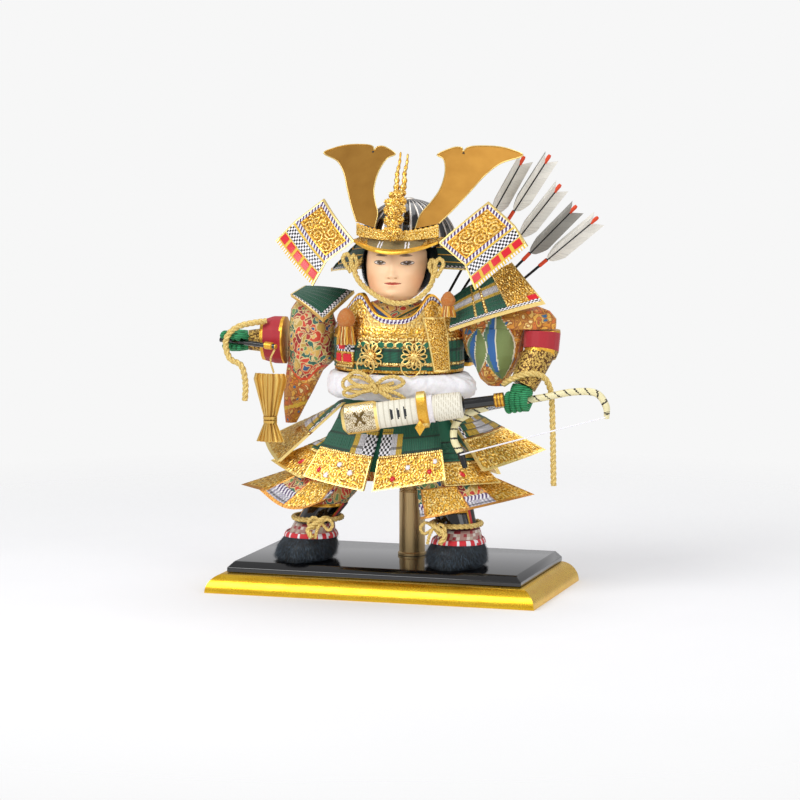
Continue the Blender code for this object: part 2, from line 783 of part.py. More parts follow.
def build_wrist_cords(finishes):
    """Gold cords knotted round the wrists, each with a long end that hangs free."""
    left = (
        (0.1110, -0.0310, 0.1920),
        (0.1180, -0.0368, 0.1965),
        (0.1280, -0.0388, 0.2010),
        (0.1385, -0.0365, 0.2030),
        (0.1470, -0.0300, 0.1995),
        (0.1515, -0.0245, 0.1900),
        (0.1530, -0.0220, 0.1760),
        (0.1540, -0.0220, 0.1500),
        (0.1545, -0.0220, 0.1260),
        (0.1550, -0.0220, 0.1020),
    )
    right = (
        (-0.1120, -0.0250, 0.2415),
        (-0.1230, -0.0300, 0.2400),
        (-0.1350, -0.0345, 0.2370),
        (-0.1440, -0.0375, 0.2300),
        (-0.1470, -0.0376, 0.2200),
        (-0.1420, -0.0400, 0.2080),
        (-0.1310, -0.0410, 0.2020),
        (-0.1275, -0.0400, 0.1870),
        (-0.1280, -0.0400, 0.1700),
    )
    cord("left_wrist_cord", left, 0.0030, finishes["gold_cord"], 2)
    cord("right_wrist_cord", right, 0.0030, finishes["gold_cord"], 2)


def build_head(finishes):
    """Neck, jaw and face in one, with the nose drawn out of the front."""
    levels = (
        (0.00, 0.000, 0.0120, 0.0110),
        (0.05, -0.011, 0.0145, 0.0140),
        (0.12, -0.013, 0.0198, 0.0190),
        (0.24, -0.009, 0.0247, 0.0245),
        (0.37, -0.005, 0.0279, 0.0285),
        (0.49, -0.003, 0.0293, 0.0305),
        (0.62, -0.001, 0.0300, 0.0318),
        (0.76, 0.001, 0.0300, 0.0320),
        (0.90, 0.002, 0.0294, 0.0315),
        (1.00, 0.004, 0.0282, 0.0295),
    )
    rings = []
    front = -math.pi / 2 + HEAD_TURN
    for share, back, half_width, half_depth in levels:
        z = NECK_Z + share * (BOWL_BOTTOM_Z - NECK_Z)
        ring = flat_ring(HEAD_CENTRE.x, HEAD_CENTRE.y + back, z, half_width, half_depth, ROUND, front)
        ring[0].y -= 0.0034 * math.exp(-(((share - 0.49) / 0.065) ** 2))
        ring[0].y -= 0.0010 * math.exp(-(((share - 0.28) / 0.060) ** 2))
        rings.append(ring)
    for rise in (0.0015, 0.018, 0.027):
        z = BOWL_BOTTOM_Z + rise
        share = LINING_SHARE * math.sqrt(1 - (rise / (BOWL_HEIGHT - BOWL_WALL)) ** 2)
        half_width, half_depth = BOWL_HALF_WIDTH * share, BOWL_HALF_DEPTH * share
        rings.append(flat_ring(HELMET_CENTRE.x, HELMET_CENTRE.y, z, half_width, half_depth, ROUND, -math.pi / 2))
    finish("head", loft(rings), finishes["face_paint"])


def bowl_half(z):
    """Half width and half depth of the bowl's outside at a height."""
    rise = min(1.0, max(0.0, (z - BOWL_BOTTOM_Z) / BOWL_HEIGHT))
    share = math.sqrt(max(0.0, 1 - rise * rise))
    return BOWL_HALF_WIDTH * share, BOWL_HALF_DEPTH * share


def build_bowl(finishes):
    """A ribbed dome with the small open ring at its crown."""
    outer = [(math.cos(t), math.sin(t)) for t in (math.radians(a) for a in (0, 18, 36, 54, 70, 83))]
    inner = [(math.cos(t), math.sin(t)) for t in (math.radians(a) for a in (83, 45, 0))]
    wall = 1 - BOWL_WALL / BOWL_HALF_WIDTH
    profile = outer + [(r * wall, h * wall) for r, h in inner]

    def place(p):
        turn = math.atan2(p.y, p.x)
        radius = math.hypot(p.x, p.y)
        outside = radius * radius + p.z * p.z > (1 + wall * wall) / 2
        rib = 0.985 + 0.015 * math.cos(BOWL_RIBS * turn) if outside else 1.0
        x = BOWL_HALF_WIDTH * radius * rib * math.cos(turn)
        y = BOWL_HALF_DEPTH * radius * rib * math.sin(turn)
        return HELMET_CENTRE + Vector((x, y, BOWL_BOTTOM_Z + BOWL_HEIGHT * p.z))

    finish("helmet_bowl", reshape(turned(profile, 2 * BOWL_RIBS), place), finishes["black_lacquer"])


def bowl_front(s, z, clear):
    """How far forward the bowl reaches at a sideways offset and height, with a clearance."""
    half_width, half_depth = bowl_half(z)
    share = min(1.0, abs(s) / half_width)
    return HELMET_CENTRE.y - half_depth * math.sqrt(1 - share * share) - clear


def build_visor(finishes):
    """The peak in front of the bowl, lowest in the middle."""

    def place(u, v, w):
        s = VISOR_HALF_WIDTH * (2 * u - 1)
        bend = (s / VISOR_HALF_WIDTH) ** 2
        inner_z = BOWL_BOTTOM_Z + 0.0055 + 0.001 * bend
        rim_y = HELMET_CENTRE.y - BOWL_HALF_DEPTH - VISOR_REACH + 0.013 * bend
        rim_z = BOWL_BOTTOM_Z - 0.0058 + 0.0095 * bend
        inner_y = bowl_front(s, inner_z, SEAT)
        y = inner_y + (rim_y - inner_y) * (1 - v)
        z = rim_z + (inner_z - rim_z) * v + 0.0014 * w
        return Vector((HELMET_CENTRE.x + s, y, z))

    finish("helmet_visor", slab(12, 3, place), finishes["gilt_plate"])


def band_y(s):
    """The horn band's middle line in plan."""
    centre = HELMET_CENTRE.y - BOWL_HALF_DEPTH - SEAT - BAND_THICKNESS
    if abs(s) <= BAND_HALF_WIDTH:
        return centre + 0.0105 * (s / BAND_HALF_WIDTH) ** 2
    return centre + 0.0105 + HORN_SWEEP * (abs(s) - BAND_HALF_WIDTH)


def band_top(s):
    return BAND_TOP_Z + BAND_RISE * (s / BAND_HALF_WIDTH) ** 2


def build_band(finishes):
    """The gilt band across the brow that holds the horns."""

    def place(u, v, w):
        s = BAND_HALF_WIDTH * (2 * u - 1)
        low = BOWL_BOTTOM_Z + 0.0065 + 0.003 * (s / BAND_HALF_WIDTH) ** 2
        z = low + (band_top(s) - low) * v
        edge = BAND_EDGE * (round(u * 16) % 2)
        return Vector((HELMET_CENTRE.x + s, band_y(s) + BAND_THICKNESS * (0.5 - w) - edge * w, z))

    finish("horn_band", slab(16, 2, place), finishes["gilt_plate"])


def build_horns(finishes):
    """Two flat gilt horns that lean back and sweep out from the band."""
    for side in ("right", "left"):
        out = mirrored(side)
        bm = bmesh.new()
        verts = [bm.verts.new((s, 0.0, BAND_TOP_Z + rise)) for s, rise in HORN_OUTLINE]
        face = bm.faces.new(verts)
        grown = bmesh.ops.extrude_face_region(bm, geom=[face], use_keep_orig=True)
        for vert in (g for g in grown["geom"] if isinstance(g, bmesh.types.BMVert)):
            vert.co.y = -HORN_THICKNESS
        bmesh.ops.triangulate(bm, faces=[f for f in bm.faces if len(f.verts) > 4])
        for vert in bm.verts:
            s, z = vert.co.x, vert.co.z
            base = band_top(min(s, BAND_HALF_WIDTH))
            y = band_y(s) + HORN_LEAN * (z - base) + vert.co.y + HORN_THICKNESS / 2
            vert.co = (HELMET_CENTRE.x + out * s, y, z)
        finish(f"{side}_horn", bm, finishes["matt_gold"])


def build_crest(finishes):
    """A small rearing dragon figure, kept to its main masses."""
    low = BOWL_BOTTOM_Z + 0.0175
    lean = 0.46
    masses = (
        (0.000, 0.0075, 0.0035),
        (0.006, 0.0090, 0.0048),
        (0.014, 0.0068, 0.0040),
        (0.021, 0.0100, 0.0050),
        (0.029, 0.0095, 0.0052),
        (0.035, 0.0055, 0.0036),
        (0.041, 0.0072, 0.0045),
        (0.047, 0.0050, 0.0034),
        (0.054, 0.0036, 0.0018),
        (0.066, 0.0010, 0.0008),
    )
    band_front = band_y(0.0) - BAND_THICKNESS / 2 - BAND_EDGE
    front = band_front - 0.0042
    rings = []
    for drop, half_width, half_depth in ((0.0090, 0.0040, 0.0012), (0.0012, 0.0060, 0.0015)):
        y = band_front - half_depth
        rings.append(flat_ring(HELMET_CENTRE.x, y, low - drop, half_width, half_depth, 10))
    for number, (rise, half_width, half_depth) in enumerate(masses):
        shift = 0.0012 * math.sin(1.9 * number)
        x, y = HELMET_CENTRE.x + shift, front + lean * rise
        rings.append(flat_ring(x, y, low + rise, half_width, half_depth, 10))
    finish("crest", loft(rings), finishes["gilt_plate"])


def build_wings(finishes):
    """The turned-back wings at the temples: a carved plate, then laced bands."""
    stations = (
        (0.0, (0.0392, -0.0370, 0.0045), (0.0765, -0.0095, 0.0400)),
        (0.6, (0.0640, -0.0410, -0.0140), (0.1020, -0.0150, 0.0200)),
        (1.0, (0.0750, -0.0460, -0.0355), (0.1170, -0.0250, 0.0025)),
    )
    for side in ("right", "left"):
        out = mirrored(side)

        def place(u, v, w):
            down = 1 - v
            for (start, in_a, out_a), (end, in_b, out_b) in zip(stations, stations[1:]):
                if down <= end:
                    break
            t = min(1.0, (down - start) / (end - start))
            a = Vector(in_a).lerp(Vector(in_b), t)
            b = Vector(out_a).lerp(Vector(out_b), t)
            point = a.lerp(b, u)
            point.y -= 0.004 * math.sin(math.pi * u)
            relief = 0.0006 * ((round(u * 5) + round(v * 7)) % 2) if w else 0.0
            point.y += 0.002 * (1 - w) - relief
            place_on_bowl = Vector((HELMET_CENTRE.x, HELMET_CENTRE.y, BOWL_BOTTOM_Z))
            return place_on_bowl + Vector((out * point.x, point.y, point.z))

        finish(f"{side}_helmet_wing", slab(5, 7, place), finishes["gilt_plate"])


def build_neck_guard(finishes):
    """Wide lames that flare out round the back and sides."""
    sweep = math.radians(98)

    def place(u, v, w):
        angle = -sweep + 2 * sweep * u
        down = 1 - v
        inner = (BOWL_HALF_WIDTH + SEAT, BOWL_HALF_DEPTH + SEAT)
        back = NECK_GUARD_BACK if abs(angle) < math.pi / 2 else 0.7 * NECK_GUARD_BACK
        half_width = inner[0] + (NECK_GUARD_HALF_WIDTH - inner[0]) * down
        half_depth = inner[1] + (back - inner[1]) * down
        relief = lames(down, NECK_GUARD_LAMES, 0.0010) if w else 0.0
        z = BOWL_BOTTOM_Z + 0.001 - NECK_GUARD_DROP * down + 0.0018 * w + relief
        return HELMET_CENTRE + Vector((half_width * math.sin(angle), half_depth * math.cos(angle), z))

    finish("neck_guard", slab(14, 2 * NECK_GUARD_LAMES, place), finishes["green_lacing"])


def build_chin_cord(finishes):
    """The helmet's cord, from cheek to cheek under the chin."""
    cheek = BOWL_BOTTOM_Z - 0.012
    points = (
        (HEAD_CENTRE.x - 0.0300, -0.0240, cheek),
        (HEAD_CENTRE.x - 0.0345, -0.0350, cheek - 0.009),
        (HEAD_CENTRE.x - 0.0290, -0.0410, cheek - 0.019),
        (HEAD_CENTRE.x - 0.0180, -0.0450, cheek - 0.0270),
        (HEAD_CENTRE.x - 0.0040, -0.0495, cheek - 0.0340),
        (HEAD_CENTRE.x + 0.0100, -0.0505, cheek - 0.0370),
        (HEAD_CENTRE.x + 0.0250, -0.0485, cheek - 0.0340),
        (HEAD_CENTRE.x + 0.0360, -0.0430, cheek - 0.0240),
        (HEAD_CENTRE.x + 0.0385, -0.0350, cheek - 0.0120),
        (HEAD_CENTRE.x + 0.0325, -0.0240, cheek),
    )
    cord("chin_cord", points, ROPE_RADIUS, finishes["gold_cord"], 2)


def build_quiver(finishes):
    """An open-topped box quiver carried behind the waist."""
    levels = (
        (QUIVER_TOP_Z - 0.0365, 0.021, 0.012),
        (QUIVER_TOP_Z - 0.0330, 0.023, 0.0125),
        (QUIVER_TOP_Z - 0.0060, 0.024, 0.0128),
        (QUIVER_TOP_Z - 0.0050, 0.026, 0.014),
        (QUIVER_TOP_Z, 0.026, 0.014),
    )
    x, y, corner = QUIVER_X, QUIVER_Y, 0.003
    rings = []
    for z, half_width, half_depth in levels:
        ring = []
        for sx, sy in ((1, 1), (-1, 1), (-1, -1), (1, -1)):
            near = Vector((x + sx * half_width, y + sy * (half_depth - corner), z))
            far = Vector((x + sx * (half_width - corner), y + sy * half_depth, z))
            ring += [near, far] if sx * sy > 0 else [far, near]
        rings.append(ring)
    finish("quiver", loft(rings), finishes["black_lacquer"])


def build_arrows(finishes):
    """Each arrow's shaft with three vanes below its nock."""
    for number, (foot_x, top_z, top_x) in enumerate(ARROWS):
        foot = Vector((foot_x, QUIVER_Y, QUIVER_TOP_Z + GAP))
        head = Vector((top_x, QUIVER_Y + 0.012, top_z))
        along = (head - foot).normalized()
        foot.z += ARROW_RADIUS * math.hypot(along.x, along.y)
        across = Vector((0, 1, 0)).cross(along).normalized()
        deep = along.cross(across)
        length = (head - foot).length
        stations = (
            (0.0, 0),
            (length - 0.062, 0),
            (length - 0.054, 1),
            (length - 0.008, 1),
            (length - 0.001, 0.15),
            (length, 0),
        )
        rings = []
        for reach, vane in stations:
            ring = []
            for i in range(6):
                t = 2 * math.pi * i / 6
                radius = ARROW_RADIUS + (VANE_RADIUS - ARROW_RADIUS) * vane * (i % 2 == 0)
                ring.append(foot + along * reach + (across * math.cos(t) + deep * math.sin(t)) * radius)
            rings.append(ring)
        finish(f"arrow_{number + 1}", loft(rings), finishes["feather"])


def build_bow(finishes):
    cord("bow", BOW_ROUTE, BOW_RADIUS, finishes["cane"], BOW_STEPS)
    start = Vector(BOW_ROUTE[1]) + Vector((0.0, -BOW_RADIUS - STRING_RADIUS - GAP, 0.0))
    end = Vector(BOW_ROUTE[-1]) + Vector((0.0, -BOW_RADIUS - STRING_RADIUS - GAP, 0.002))
    cord("bow_string", (start, start.lerp(end, 0.5), end), STRING_RADIUS, finishes["feather"], 2)


def sword_stations(marks):
    """Stations along the sword from marks of (distance, half depth, half height)."""
    along = (SWORD_END - SWORD_START).normalized()
    return [(SWORD_START + along * reach, depth, height) for reach, depth, height in marks]


def build_sword(finishes):
    """Pommel, wrapped grip and guard in one; then the scabbard with its bound mouth."""
    hilt = (
        (0.000, 0.0050, 0.0090),
        (0.004, 0.0075, 0.0135),
        (0.030, 0.0078, 0.0138),
        (0.033, 0.0060, 0.0118),
        (0.067, 0.0060, 0.0116),
        (0.069, 0.0085, 0.0165),
        (0.076, 0.0085, 0.0165),
        (0.078, 0.0060, 0.0120),
        (0.082, 0.0065, 0.0125),
    )
    sheath = (
        (0.0824, 0.0085, 0.0110),
        (0.086, 0.0095, 0.0122),
        (0.107, 0.0090, 0.0115),
        (0.110, 0.0040, 0.0050),
        (0.136, 0.0040, 0.0048),
        (0.1365, 0.0055, 0.0062),
        (0.1450, 0.0055, 0.0062),
    )
    finish("sword_hilt", limb(sword_stations(hilt), COARSE, (0, 0, 1)), finishes["white_silk"])
    finish("scabbard", limb(sword_stations(sheath), COARSE, (0, 0, 1)), finishes["black_lacquer"])


def build_baton(finishes):
    """The war baton and the folded strips that hang from its ring."""
    start, end = (Vector(p) for p in BATON_ENDS)
    marks = ((0.0, 1.0), (0.80, 1.0), (0.81, 1.5), (0.93, 1.5), (0.94, 1.0), (1.0, 0.9))
    stations = [(start.lerp(end, t), BATON_RADIUS * r, BATON_RADIUS * r) for t, r in marks]
    finish("baton_stick", limb(stations, 8, (0, 0, 1)), finishes["black_lacquer"])
    hang = start.lerp(end, 0.975)
    top = hang.z - BATON_RADIUS - SEAT
    levels = (
        (top, 0.0009, 0.0009, 0.0),
        (0.197, 0.0009, 0.0009, -0.001),
        (0.1935, 0.0140, 0.0040, -0.004),
        (0.188, 0.0155, 0.0060, -0.005),
        (0.157, 0.0065, 0.0050, -0.006),
        (0.150, 0.0065, 0.0050, -0.006),
        (0.133, 0.0135, 0.0060, -0.006),
    )
    rings = [flat_ring(hang.x + shift, hang.y, z, wide, deep, COARSE) for z, wide, deep, shift in levels]
    finish("baton_streamers", loft(rings), finishes["matt_gold"])


def main():
    clear_scene()
    finishes = {
        "gold_lacquer": material("gold_lacquer", (0.80, 0.50, 0.05), 0.22, 0.9),
        "black_lacquer": material("black_lacquer", (0.01, 0.01, 0.01), 0.12),
        "bronze": material("brushed_bronze", (0.33, 0.23, 0.12), 0.35, 1.0),
        "black_fur": material("black_fur", (0.008, 0.012, 0.014), 0.9),
        "brocade": material("brocade", (0.30, 0.18, 0.08), 0.75),
        "gold_cord": material("gold_cord", (0.62, 0.46, 0.16), 0.5),
        "gold_leather": material("gold_leather", (0.45, 0.36, 0.16), 0.6),
        "gilt_plate": material("gilt_plate", (0.72, 0.46, 0.08), 0.35, 1.0),
        "matt_gold": material("matt_gold", (0.50, 0.28, 0.06), 0.45, 1.0),
        "green_lacing": material("green_lacing", (0.01, 0.15, 0.09), 0.7),
        "white_silk": material("white_silk", (0.85, 0.84, 0.86), 0.7),
        "mail_cloth": material("mail_cloth", (0.35, 0.22, 0.08), 0.6),
        "green_glove": material("green_glove", (0.01, 0.22, 0.10), 0.75),
        "face_paint": material("face_paint", (0.87, 0.55, 0.34), 0.5),
        "feather": material("feather", (0.8, 0.8, 0.78), 0.8),
        "cane": material("wrapped_cane", (0.60, 0.52, 0.28), 0.5),
    }
    build_stand(finishes)
    build_post(finishes)
    for side in ("right", "left"):
        build_shoe(side, finishes)
        build_leg(side, finishes)
        build_ankle_rope(side, finishes)
    build_core(finishes)
    build_torso(finishes)
    build_cuirass(finishes)
    build_chest_plates(finishes)
    build_rosette("right", math.radians(-12.5), finishes)
    build_rosette("left", math.radians(25), finishes)
    build_sash(finishes)
    build_sash_cord(finishes)
    build_tassets(finishes)
    build_thigh_guards(finishes)
    build_sleeves(finishes)
    build_arm_guards(finishes)
    build_hands(finishes)
    build_shoulder_guards(finishes)
    build_wrist_cords(finishes)
    build_head(finishes)
    build_bowl(finishes)
    build_visor(finishes)
    build_band(finishes)
    build_horns(finishes)
    build_crest(finishes)
    build_wings(finishes)
    build_neck_guard(finishes)
    build_chin_cord(finishes)
    build_quiver(finishes)
    build_arrows(finishes)
    build_bow(finishes)
    build_sword(finishes)
    build_baton(finishes)


main()
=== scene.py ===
import math
import random
from types import SimpleNamespace

import bmesh
import bpy
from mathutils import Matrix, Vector, noise


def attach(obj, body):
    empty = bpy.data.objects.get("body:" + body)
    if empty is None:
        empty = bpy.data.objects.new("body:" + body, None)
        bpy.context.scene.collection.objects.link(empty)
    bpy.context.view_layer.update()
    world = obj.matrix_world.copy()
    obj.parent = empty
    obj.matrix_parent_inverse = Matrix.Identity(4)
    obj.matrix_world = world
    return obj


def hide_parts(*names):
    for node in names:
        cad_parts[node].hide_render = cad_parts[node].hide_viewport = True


bl_info = {
    "name": "Samurai Doll",
    "version": (1, 0, 0),
    "blender": (4, 5, 0),
    "location": "3D View > Sidebar > Samurai Doll",
    "description": "Dresses the armoured doll on its stand",
    "category": "Object",
}

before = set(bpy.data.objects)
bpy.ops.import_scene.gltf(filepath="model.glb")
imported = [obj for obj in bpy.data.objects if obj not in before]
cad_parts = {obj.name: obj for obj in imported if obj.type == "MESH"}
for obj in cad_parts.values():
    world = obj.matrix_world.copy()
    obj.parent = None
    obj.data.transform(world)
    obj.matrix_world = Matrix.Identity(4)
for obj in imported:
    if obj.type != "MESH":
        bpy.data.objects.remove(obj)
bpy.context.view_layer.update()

# Camera, floor and surroundings of the photograph
PHOTO_TARGET = Vector((0.0081, -0.0065, 0.1717))
TOWARDS_CAMERA = Vector((0.2904, -0.9498, 0.1167))
CAMERA_DISTANCE = 2.97
CAMERA_LENS = 148.5
FLOOR_SIZE = 6
WORLD_LIGHT = 0.62

# Sizes shared with the solids, in metres
GAP = 0.0003
SEAT = 0.0004
BOARD_WIDTH = 0.306
BOARD_DEPTH = 0.163
BOARD_NOSE = 0.017
TOP_BOARD_INSET = 0.016
TOP_BOARD_THICKNESS = 0.0095
TOP_BOARD_CHAMFER = 0.0055
POST_RADIUS = 0.0118
POST_PLACE = (0.011, 0.022)
POST_RING_HEIGHT = 0.016
STAND_TOP = BOARD_NOSE + GAP + TOP_BOARD_THICKNESS
ANKLE_Z = 0.0605
CORE_BOTTOM_Z = 0.104
CORE_TOP_Z = 0.186
SHOULDER_Z = 0.258
NECK_Z = 0.2625
BOWL_BOTTOM_Z = 0.312
BOWL_HEIGHT = 0.041
BODY_CENTRE = Vector((0.007, -0.006, 0.0))
FRONT_TURN = math.radians(7)
WAIST = (0.050, 0.0315)
CHEST = (0.0550, 0.0365)
HEM = (0.071, 0.050)
CUIRASS_WALL = 0.003
CUIRASS_CLEAR = 0.0007
CUIRASS_RIDGE = 0.0007
CUIRASS_BOTTOM_Z = 0.2
CUIRASS_FRONT_Z = 0.249
CUIRASS_HUMP = 0.021
SASH_Z = 0.1865
SASH_HALF_HEIGHT = 0.012
SASH_HALF_DEPTH = 0.0085
SASH_KNOT_TURN = math.radians(-24)
TASSET_DROP = 0.0045
TASSET_THICKNESS = 0.0024
TASSET_SEAT = 0.0005
LEG_RADIUS = 0.0185
SHOE_HALF_WIDTH = 0.027
SHOE_HALF_LENGTH = 0.035
FEET = {"right": Vector((-0.073, -0.027, 0.0)), "left": Vector((0.070, -0.027, 0.0))}
HIPS = {"right": Vector((-0.040, -0.012, 0.0)), "left": Vector((0.050, -0.012, 0.0))}
ROPE_RADIUS = 0.0026
HEAD_CENTRE = Vector((0.0095, -0.012, 0.0))
HEAD_TURN = math.radians(6)
HELMET_CENTRE = Vector((0.015, -0.003, 0.0))
BOWL_HALF_WIDTH = 0.044
BOWL_HALF_DEPTH = 0.042
VISOR_HALF_WIDTH = 0.0388
VISOR_REACH = 0.011
BAND_THICKNESS = 0.0016
BAND_HALF_WIDTH = 0.038
BAND_TOP_Z = BOWL_BOTTOM_Z + 0.015
BAND_RISE = 0.006
HORN_THICKNESS = 0.0013
HORN_LEAN = 1.05
HORN_SWEEP = 0.3
NECK_GUARD_HALF_WIDTH = 0.072
NECK_GUARD_BACK = 0.056
NECK_GUARD_DROP = 0.027
ARROW_RADIUS = 0.0012
VANE_RADIUS = 0.0085
BOW_RADIUS = 0.0032
BATON_RADIUS = 0.0023
WRIST_CORD_DIAMETER = 0.0060
SWORD_START = Vector((-0.024, -0.0760, 0.1605))
SWORD_END = Vector((0.119, -0.0520, 0.1815))
BATON_ENDS = ((-0.1560, -0.0260, 0.2235), (-0.0985, -0.0385, 0.2200))

HORN_OUTLINE = (
    (0.0383, BAND_RISE + SEAT),
    (0.0480, 0.0190),
    (0.0580, 0.0340),
    (0.0660, 0.0465),
    (0.0770, 0.0570),
    (0.0940, 0.0635),
    (0.0840, 0.0685),
    (0.0700, 0.0715),
    (0.0520, 0.0720),
    (0.0445, 0.0705),
    (0.0420, 0.0675),
    (0.0395, 0.0705),
    (0.0320, 0.0705),
    (0.0197, 0.0645),
    (0.0260, 0.0610),
    (0.0298, 0.0540),
    (0.0315, 0.0450),
    (0.0305, 0.0340),
    (0.0260, 0.0240),
    (0.0200, 0.0140),
    (0.0187, BAND_RISE * 0.25 + SEAT),
)

LEFT_WRIST_ROUTE = (
    (0.1110, -0.0310, 0.1920),
    (0.1180, -0.0368, 0.1965),
    (0.1280, -0.0388, 0.2010),
    (0.1385, -0.0365, 0.2030),
    (0.1470, -0.0300, 0.1995),
    (0.1515, -0.0245, 0.1900),
    (0.1530, -0.0220, 0.1760),
    (0.1540, -0.0220, 0.1500),
    (0.1545, -0.0220, 0.1260),
    (0.1550, -0.0220, 0.1020),
)
RIGHT_WRIST_ROUTE = (
    (-0.1120, -0.0250, 0.2415),
    (-0.1230, -0.0300, 0.2400),
    (-0.1350, -0.0345, 0.2370),
    (-0.1440, -0.0375, 0.2300),
    (-0.1470, -0.0376, 0.2200),
    (-0.1420, -0.0400, 0.2080),
    (-0.1310, -0.0410, 0.2020),
    (-0.1275, -0.0400, 0.1870),
    (-0.1280, -0.0400, 0.1700),
)
BOW_ROUTE = (
    (0.0845, -0.0600, 0.1200),
    (0.0805, -0.0595, 0.1320),
    (0.0735, -0.0580, 0.1450),
    (0.0730, -0.0490, 0.1580),
    (0.0850, -0.0440, 0.1670),
    (0.1010, -0.0390, 0.1725),
    (0.1240, -0.0335, 0.1770),
    (0.1500, -0.0310, 0.1820),
    (0.1740, -0.0290, 0.1870),
    (0.1940, -0.0275, 0.1865),
    (0.2030, -0.0270, 0.1760),
    (0.2040, -0.0270, 0.1640),
)

# Materials of pieces that show more than one, in the order of their faces' slots
LACED = ("stamped_gilt", "silk_braid", "painted_trim")
LACQUERED = ("ebony_lacquer", "stamped_gilt")

# The remeshing and the Cloth run that puff the sash
PUFF_PRESSURE = 4.0
PUFF_FRAMES = 20
SASH_VOXEL = 0.0016
SASH_PUFF_OUTSIDE = 0.0011
SASH_PUFF_INSIDE = 0.0001

# Make of a rope, in radii of the rope
ROPE_STRANDS = 3
ROPE_STEP = 0.55
STRAND_RADIUS = 0.56
STRAND_SIDES = 6

# Ornament of the plates and the lacing
GEM_RADIUS = 0.0022
LOZENGE_ROW = 0.0046


def linear(hex_colour):
    """An sRGB hex colour as linear RGBA."""
    parts = [int(hex_colour[i:i + 2], 16) / 255 for i in (1, 3, 5)]
    return [c / 12.92 if c <= 0.04045 else ((c + 0.055) / 1.055) ** 2.4 for c in parts] + [1.0]


# Colours and sizes of the running step, read from the scene's settings
hue = SimpleNamespace()
fine = SimpleNamespace()


# ---------------------------------------------------------------- materials


def node(made, kind, inputs=None, **settings):
    """Adds a node, sets its properties and inputs; a socket given as an input is linked."""
    tree = made.node_tree
    added = tree.nodes.new(kind)
    for key, value in settings.items():
        setattr(added, key, value)
    for key, value in (inputs or {}).items():
        if isinstance(value, bpy.types.NodeSocket):
            tree.links.new(value, added.inputs[key])
        else:
            added.inputs[key].default_value = value
    return added


def surface(name, roughness, metallic=0.0):
    made = bpy.data.materials.new(name)
    made.use_nodes = True
    shader = made.node_tree.nodes["Principled BSDF"]
    shader.inputs["Roughness"].default_value = roughness
    shader.inputs["Metallic"].default_value = metallic
    return made, shader


def link(made, source, shader, target):
    made.node_tree.links.new(source, shader.inputs[target])


def grain(made, per_mm, detail=3.0, stretch=(1, 1, 1)):
    """Noise in the piece's own space, with cells of about 1 / per_mm millimetres."""
    where = node(made, "ShaderNodeTexCoord").outputs["Object"]
    placed = node(made, "ShaderNodeMapping", {"Vector": where, "Scale": stretch}).outputs["Vector"]
    inputs = {"Vector": placed, "Scale": per_mm * 1000, "Detail": detail}
    return node(made, "ShaderNodeTexNoise", inputs).outputs["Fac"]


def ramp(made, source, stops, flat=False):
    added = node(made, "ShaderNodeValToRGB", {"Fac": source})
    added.color_ramp.interpolation = "CONSTANT" if flat else "LINEAR"
    for number, (place, colour) in enumerate(stops):
        element = added.color_ramp.elements[number] if number < 2 else added.color_ramp.elements.new(place)
        element.position = place
        element.color = colour
    return added.outputs["Color"]


def span(made, source, low, high):
    return node(made, "ShaderNodeMapRange", {"Value": source, "To Min": low, "To Max": high}).outputs["Result"]


def mixed(made, factor, a, b, blend="MIX"):
    return node(made, "ShaderNodeMix", {0: factor, 6: a, 7: b}, data_type="RGBA", blend_type=blend).outputs[2]


def bump(made, shader, height, distance, strength=0.6):
    raised = node(made, "ShaderNodeBump", {"Height": height, "Distance": distance, "Strength": strength})
    link(made, raised.outputs["Normal"], shader, "Normal")


def tint(made):
    return node(made, "ShaderNodeAttribute", attribute_name="tint").outputs["Color"]


